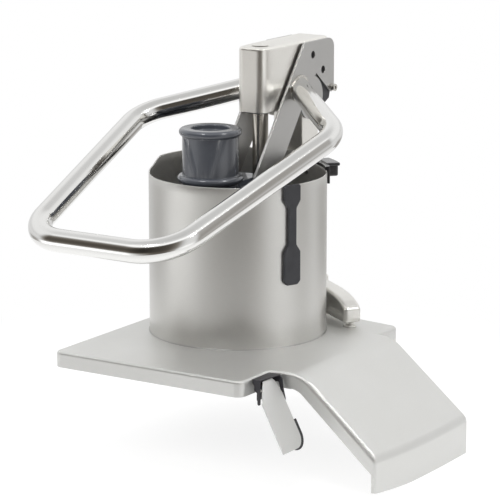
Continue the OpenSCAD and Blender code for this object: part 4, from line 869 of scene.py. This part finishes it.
pusher = {"rod": [(0, 37.5), (9, 37.5), (9, 335), (8.6, 335.4), (0, 335.4)],
          "cap": [(0, 335.4), (9.7, 335.4), (9.9, 335.5), (9.9, 335.7), (9.6, 336), (9.1, 336.1), (6.9, 336.1),
                  (6.7, 335.9), (0, 335.9)],
          "hub": [(9.15, 29.5), (30, 29.5), (30, 37.5), (17, 37.5), (17, 76.1), (9.15, 76.1)],
          "hubRadii": [0, 0.5, 1.2, 3, 1.2, 0.4],
          "buffer": [(9.4, 76.1), (15, 76.1), (15, 82.1), (9.4, 82.1)], "bufferRadii": [0.8, 1.6, 1.6, 0.8],
          "hubCircle": 24, "hubAngles": (45, 135, 225, 315), "hubTop": 37.5, "hubScrew": (8.5, 3, 5, 13, 4, 1.8),
          "endScrewUp": 28.5, "endScrew": (14, 4, 8, 25, 6, 2.4)}

rodLathe("guide_rod", pusher["rod"], rodSteel)
rodLathe("rod_cap", pusher["cap"], casingSteel)
rodLathe("rod_hub", roundedLine(pusher["hub"], pusher["hubRadii"]), slatePlastic, 40)
rodLathe("lift_buffer", roundedLine(pusher["buffer"], pusher["bufferRadii"]), greyRubber, 50)
hubScrews = [onCircle(pusher["hubCircle"], a, (0, rodY)) for a in pusher["hubAngles"]]
screwPiece("hub_screws", [(x, y, pusher["hubTop"]) for x, y in hubScrews], [(0, 0, 1)] * 4, pusher["hubScrew"])
screwPiece("rod_end_screw", [(0, rodY, pusher["endScrewUp"])], [(0, 0, -1)], pusher["endScrew"])
cadPiece("pusher_plate", slatePlastic, 0.5, sharp=60)
cadPiece("feed_tube", slatePlastic, 0.5, sharp=60)
print("pusher made")


# Small pusher: a hollow plunger with a grip between two rounded lips

grip = {"y": -55.6, "low": 27.9, "seat": 194.9, "top": 256.4, "plunger": 27.4, "wall": 3, "radius": 31.2, "lip": 34.7,
        "lipH": 9.0, "flange": 36.9, "flangeH": 8.4, "flangeUp": 1.2, "recess": 20.8, "recessDeep": 6, "ease": 0.4,
        "edgeRadius": 1.8, "floorRadius": 1.5, "footEdge": 0.5, "flangeGap": 0.8, "lipGap": 0.6}


def gripProfile():
    g = grip
    lipR, flangeR, top = g["lipH"] / 2, g["flangeH"] / 2, g["top"]
    lipC = (g["lip"] - lipR, top - lipR)
    flangeC = (g["flange"] - flangeR, g["seat"] + g["flangeUp"] + flangeR)
    lipEnd, flangeEnd = (degrees(acos((g["radius"] + g["ease"] - c[0]) / r))
                         for c, r in ((lipC, lipR), (flangeC, flangeR)))
    ceiling, bore = top - g["lipH"] - g["wall"], g["plunger"] - g["wall"]
    edgeR, floorR, floor = g["edgeRadius"], g["floorRadius"], top - g["recessDeep"]
    return [(0, ceiling), (bore, ceiling), (bore, g["low"]), (g["plunger"] - g["footEdge"], g["low"]),
            (g["plunger"], g["low"] + g["footEdge"]), (g["plunger"], g["seat"]),
            *arcPoints(flangeC, flangeR, -90, flangeEnd, 9),
            (g["radius"], g["seat"] + g["flangeUp"] + g["flangeH"] + g["flangeGap"]),
            (g["radius"], top - g["lipH"] - g["lipGap"]),
            *arcPoints(lipC, lipR, -lipEnd, 90, 9),
            *arcPoints((g["recess"] + edgeR, top - edgeR), edgeR, 90, 180, 15),
            *arcPoints((g["recess"] - floorR, floor + floorR), floorR, 0, -90, 15), (0, floor)]


addPiece("small_pusher", lathe("smallPusher", gripProfile(), (0, grip["y"], 0), steps=128), slatePlastic)
cadPiece("small_pusher_foot", slatePlastic, 0.5)
print("small pusher made")


# Latch on the lid's side

latch = {"pin": (134.5, -162.6, 8), "pinBore": 2.05, "pinStop": 0.3, "boreEnd": -130,
         "pinLine": [(0, -172.2), (1.6, -172.2), (2, -171.8), (2, -138), (1.6, -137.6), (0, -137.6)],
         "gripShift": 5, "shiftFrom": 36, "shiftOver": 8, "knuckle": 20, "gripRoom": 1.8,
         "springTurns": 7, "turnSteps": 24, "springRadius": 2.7, "springLeg": 3.4, "springEnd": 0.6, "wire": 1.0,
         "pitch": 1.2, "rivets": (-158.4, -146.2), "rivetZ": 2.5,
         # Each row of rivet heads: its X, the way it faces and the rivets' sizes
         "rivetHeads": [(125.85, -1, (7, 1, 4, 4.6)), (130.55, 1, (7, 0.5, 4, 0.6))],
         "nearEar": -172.0, "nearHalf": 1, "awayEar": (-140.8, -138.8), "earTip": 0.4, "earBend": 1.6,
         "near": [(129.4, 15.6), (138.4, 15.6), (138.6, 8), (138.6, -11.4), (135.3, -11.4), (135.3, 1.6),
                  (131.4, 4.2), (131.2, 9), (129.4, 12)],
         "away": [(129.4, 15.6), (142.6, 16.0), (146.2, 12), (147, 2), (150.4, -11.4), (146.6, -11.4), (143.4, 1),
                  (141.8, 8.4), (137.6, 8), (135, 3), (131, 3.6), (129.4, 6)],
         "hood": [(128.5, -173.0), (138.8, -173.0), (143.4, -138.8), (128.5, -138.8)], "hoodZ": (15.0, 16.2),
         "base": [(128.4, -163.4), (130.1, -163.4), (130.1, -139.4), (128.4, -139.4)], "baseZ": (-9.5, 15.9)}
pinX, pinY, pinZ = latch["pin"]


def bracketForm():
    # A bent clip: a base on the lid's rim, a hood over the lever's top and two slender ears that hold the pin. The
    # pin's hole stops inside the near ear
    def across(outline, low, high):
        return prism("bracketEar", outline, low, high, lambda x, z, y: (x, y, z))

    hole = ringPoints(latch["pinBore"], 32, (pinX, pinZ))
    near, half, tip, bend = (latch[k] for k in ("nearEar", "nearHalf", "earTip", "earBend"))
    parts = []
    for name, low, high in (("near", near - half, near + half), ("away", *latch["awayEar"])):
        line = roundedLine(latch[name], [tip] + [bend] * (len(latch[name]) - 2) + [tip])
        ear = cut(across(line, low, high), across(hole, near - latch["pinStop"], latch["boreEnd"]))
        parts.append(shaped(ear, rounding(0.4)))
    parts += [shaped(prism(name, latch[name], *latch[name + "Z"]), rounding(0.5, 3)) for name in ("hood", "base")]
    return joined("latchBracket", *parts)


def gripForm():
    # Past the knuckle the grip sits further back, so that its rim shows along the lever's far edge
    mesh = cadForm("latch_grip")
    for v in mesh.vertices:
        far = hypot(v.co.x / mm - pinX, v.co.z / mm - pinZ)
        v.co.y += latch["gripShift"] * mm * min(1, max(0, (far - latch["shiftFrom"]) / latch["shiftOver"]))
        if far < latch["knuckle"]:
            v.co.y = max(v.co.y, (latch["nearEar"] + latch["gripRoom"]) * mm)
    return shaped(mesh, rounding(0.5, 3))


addPiece("latch_bracket", bracketForm(), blackSteel, sharp=60)
rivets = [fasteners(rivetsOnPoints, [(x, y, latch["rivetZ"]) for y in latch["rivets"]], [(way, 0, 0)] * 2, sizes,
                    brightSteel) for x, way, sizes in latch["rivetHeads"]]
addPiece("latch_rivets", joined("latchRivets", *rivets), brightSteel, sharp=40)
addPiece("latch_pin", lathe("latchPin", latch["pinLine"], (pinX, 0, pinZ), "Y", 32), brightSteel, sharp=35)
# The lever's finish is the lighter copy of the lid's steel, with painted light
cadPiece("latch_lever", litLeverSteel, 0.4, 3, sharp=60)
addPiece("latch_grip", gripForm(), blackSteel, sharp=60)
cadPiece("latch_hook", brightSteel, 0.3, sharp=40)


def springLine():
    turns, radius = latch["springTurns"], latch["springRadius"]
    half = turns * latch["pitch"] / 2 - latch["springEnd"]
    steps = turns * latch["turnSteps"]
    points = [(pinX - latch["springLeg"], pinY - half, pinZ + radius)]
    for k in range(steps + 1):
        x, z = onCircle(radius, 90 + 360 * turns * k / steps, (pinX, pinZ))
        points.append((x, pinY - half + 2 * half * k / steps, z))
    return points


spring = grown("latchSpring", lineMesh(springLine()), alongPath, brightSteel, {
    "Radius": latch["wire"] / 2, "Bend Radius": 0, "Round Steps": 10, "Caps": True})
addPiece("latch_spring", spring, brightSteel, sharp=60, even=False)
print("latch made")


# Studio: pale floor, white surroundings, soft lamps and the photograph's camera

studio = {"azimuth": 32.5, "elevation": 12.4, "distance": 2.9, "target": (0, 0.0253, 0.1037), "lens": 183.8,
          "sensor": 36, "floor": -0.1041, "floorRadius": 0.8, "ambient": 0.55,
          "paper": (0.27, 0.27, 0.27, 1), "paperGlow": 0.8, "paperOff": (0.8, 0.8, 0.8, 1), "paperEnd": (0.35, 0.62),
          # Name, azimuth from the camera, elevation, distance and size in metres, power
          "lamps": [("leftLamp", -60, 35, 2.4, 1.3, 26), ("rightLamp", 75, 30, 2.6, 1.2, 14),
                    ("topLamp", 10, 80, 2.2, 1.6, 26)]}
plainWhite = (1, 1, 1, 1)


def seenRays(tree):
    # 1 for rays from the camera, off metal and through glass, and 0 for those that light a surface
    rays = addNode(tree, "ShaderNodeLightPath").outputs
    seen = maths(tree, "ADD", rays["Is Camera Ray"], rays["Is Glossy Ray"])
    return maths(tree, "ADD", seen, rays["Is Transmission Ray"], use_clamp=True)


def paperFinish():
    # White paper: matt for the eye, paler where its light falls on the object, and pure white far out
    finish, tree = startFinish("whitePaperFloor")
    matt = addNode(tree, "ShaderNodeBsdfDiffuse", {"Color": studio["paper"]})
    glow = addNode(tree, "ShaderNodeEmission", {"Color": plainWhite, "Strength": studio["paperGlow"]})
    white = addNode(tree, "ShaderNodeAddShader", {0: matt, 1: glow})
    plain = addNode(tree, "ShaderNodeBsdfDiffuse", {"Color": studio["paperOff"]})
    either = addNode(tree, "ShaderNodeMixShader", {0: seenRays(tree), 1: plain, 2: white})
    place = addNode(tree, "ShaderNodeTexCoord").outputs["Object"]
    away = addNode(tree, "ShaderNodeVectorMath", {0: place}, operation="LENGTH").outputs["Value"]
    pureGlow = addNode(tree, "ShaderNodeEmission", {"Color": plainWhite, "Strength": 1.0})
    edge = addNode(tree, "ShaderNodeMixShader", {
        0: spread(tree, away, *studio["paperEnd"]), 1: either, 2: pureGlow})
    addNode(tree, "ShaderNodeOutputMaterial", {0: edge})
    return finish


floorWide = studio["floorRadius"] / mm
floorMesh = lathe("floor", [(0, 0), (floorWide, 0), (floorWide, -2), (0, -2)], steps=128)
floorMesh.transform(Matrix.Translation((0, 0, studio["floor"])))
floorMesh.materials.append(paperFinish())
placed("floor", floorMesh)

world = bpy.data.worlds.new("studioWorld")
world.use_nodes = True
scene.world = world
tree = world.node_tree
tree.nodes.clear()
sky = addNode(tree, "ShaderNodeBackground", {
    "Color": plainWhite, "Strength": spread(tree, seenRays(tree), 0.0, 1.0, studio["ambient"])})
addNode(tree, "ShaderNodeOutputWorld", {0: sky})

# Screens round the table, seen only in the metal. "ring" and "depth" run by the angle from the camera, and the others
# by height, from straight down to straight up
screens = {"radius": 5.0, "full": 1.6, "brown": "CFC4B6",
           "ring": [(-180, 0.85), (-150, 0.8), (-120, 0.5), (-102, 0.86), (-82, 1.58), (-65, 1.4), (-50, 0.86),
                    (-26, 0.4), (0, 0.2), (22, 0.36), (42, 0.96), (57, 1.16), (76, 0.76), (93, 0.5), (108, 0.78),
                    (116, 0.86), (130, 0.46), (155, 0.6), (180, 0.85)],
           "column": [(-1.0, 1.0), (-0.2, 1.0), (-0.14, 0.85), (-0.05, 0.3), (0.1, 0.14), (0.56, 0.17), (0.7, 0.5),
                      (1.0, 1.0)],
           "depth": [(-180, 0.0), (-116, 0.1), (-96, 1.0), (-34, 1.0), (-8, 0.6), (30, 0.35), (180, 0.3)],
           "back": [(-1.0, 0.9), (-0.12, 0.88), (-0.05, 0.8), (-0.01, 0.76), (0.03, 0.84), (0.22, 0.8), (0.42, 0.96),
                    (0.72, 0.95), (0.86, 0.74), (1.0, 0.68)],
           "over": [(-1.0, 0.0), (0.6, 0.2), (0.7, 1.1), (0.78, 1.25), (0.86, 1.1), (0.93, 0.76), (1.0, 0.66)],
           "behind": (80, 102), "table": (-0.16, -0.06), "overFrom": (0.64, 0.76), "warmBelow": (0.2, 0.7),
           "windows": [(-38, 58), (64, 50)], "windowSize": 5.5, "windowGlow": 20.0}


def screenFinish():
    finish, tree = startFinish("studioScreens")
    place = addNode(tree, "ShaderNodeTexCoord").outputs["Object"]
    way = addNode(tree, "ShaderNodeVectorMath", {0: place}, operation="NORMALIZE")

    def along(axis):
        return addNode(tree, "ShaderNodeVectorMath", {0: way, 1: axis}, operation="DOT_PRODUCT").outputs["Value"]

    def drawn(share, part, end):
        curve = addNode(tree, "ShaderNodeFloatCurve", {"Value": share})
        line = curve.mapping.curves[0]
        spots = [((x + end) / (2 * end), y / screens["full"]) for x, y in screens[part]]
        line.points[0].location, line.points[1].location = spots[0], spots[-1]
        for x, y in spots[1:-1]:
            line.points.new(x, y)
        curve.mapping.update()
        return maths(tree, "MULTIPLY", curve, screens["full"])

    turn = maths(tree, "ARCTAN2", along(direction(studio["azimuth"] + 90)), along(direction(studio["azimuth"])))
    turnShare = spread(tree, turn, -pi, pi)
    height = along((0, 0, 1))
    heightShare = spread(tree, height, -1.0, 1.0)
    column, back, over = (drawn(heightShare, part, 1) for part in ("column", "back", "over"))
    dimmed = addNode(tree, "ShaderNodeMix", {0: drawn(turnShare, "depth", 180), 2: 1.0, 3: column})
    front = maths(tree, "MULTIPLY", drawn(turnShare, "ring", 180), dimmed)
    # The white backdrop behind the object takes over from the ring above the table's edge
    behind = spread(tree, maths(tree, "ABSOLUTE", turn), *map(radians, screens["behind"]),
                    interpolation_type="SMOOTHSTEP")
    backdrop = maths(tree, "MULTIPLY", behind, spread(tree, height, *screens["table"]))
    lit = spread(tree, height, *screens["overFrom"], interpolation_type="SMOOTHSTEP")
    front = addNode(tree, "ShaderNodeMix", {0: lit, 2: front, 3: over})
    level = addNode(tree, "ShaderNodeMix", {0: backdrop, 2: front, 3: back})
    warm = spread(tree, level, *screens["warmBelow"])
    # Two small bright windows give the glossy mouldings their white glints
    edge, core = (cos(radians(screens["windowSize"] * k)) for k in (1, 0.8))
    for azimuth, elevation in screens["windows"]:
        inside = spread(tree, along(direction(studio["azimuth"] + azimuth, elevation)), edge, core, 0.0,
                        screens["windowGlow"], interpolation_type="SMOOTHSTEP")
        level = maths(tree, "ADD", level, inside)
    tint = mixedColour(tree, warm, linearColour(screens["brown"]), plainWhite)
    glow = addNode(tree, "ShaderNodeEmission", {"Color": tint, "Strength": level})
    addNode(tree, "ShaderNodeOutputMaterial", {0: glow})
    return finish


bm = bmesh.new()
bmesh.ops.create_uvsphere(bm, u_segments=64, v_segments=32, radius=screens["radius"])
screenMesh = closed(bm, "studioScreens")
screenMesh.materials.append(screenFinish())
screenRing = placed("studioScreens", screenMesh)
for rays in ("camera", "diffuse", "shadow", "transmission"):
    setattr(screenRing, "visible_" + rays, False)

for name, azimuth, elevation, distance, size, power in studio["lamps"]:
    light = bpy.data.lights.new(name, "AREA")
    light.shape, light.size, light.energy = "DISK", size, power
    lamp = placed(name, light)
    lamp.location = direction(studio["azimuth"] + azimuth, elevation) * distance
    lamp.rotation_euler = lamp.location.to_track_quat("Z", "Y").to_euler()
    lamp.visible_glossy = False

cameraData = bpy.data.cameras.new("photoCamera")
cameraData.lens, cameraData.sensor_width = studio["lens"], studio["sensor"]
camera = placed("photoCamera", cameraData)
sight = direction(studio["azimuth"], studio["elevation"])
camera.location = Vector(studio["target"]) + sight * studio["distance"]
camera.rotation_euler = sight.to_track_quat("Z", "Y").to_euler()
scene.camera = camera
scene.view_settings.view_transform = "Standard"
print("studio made")
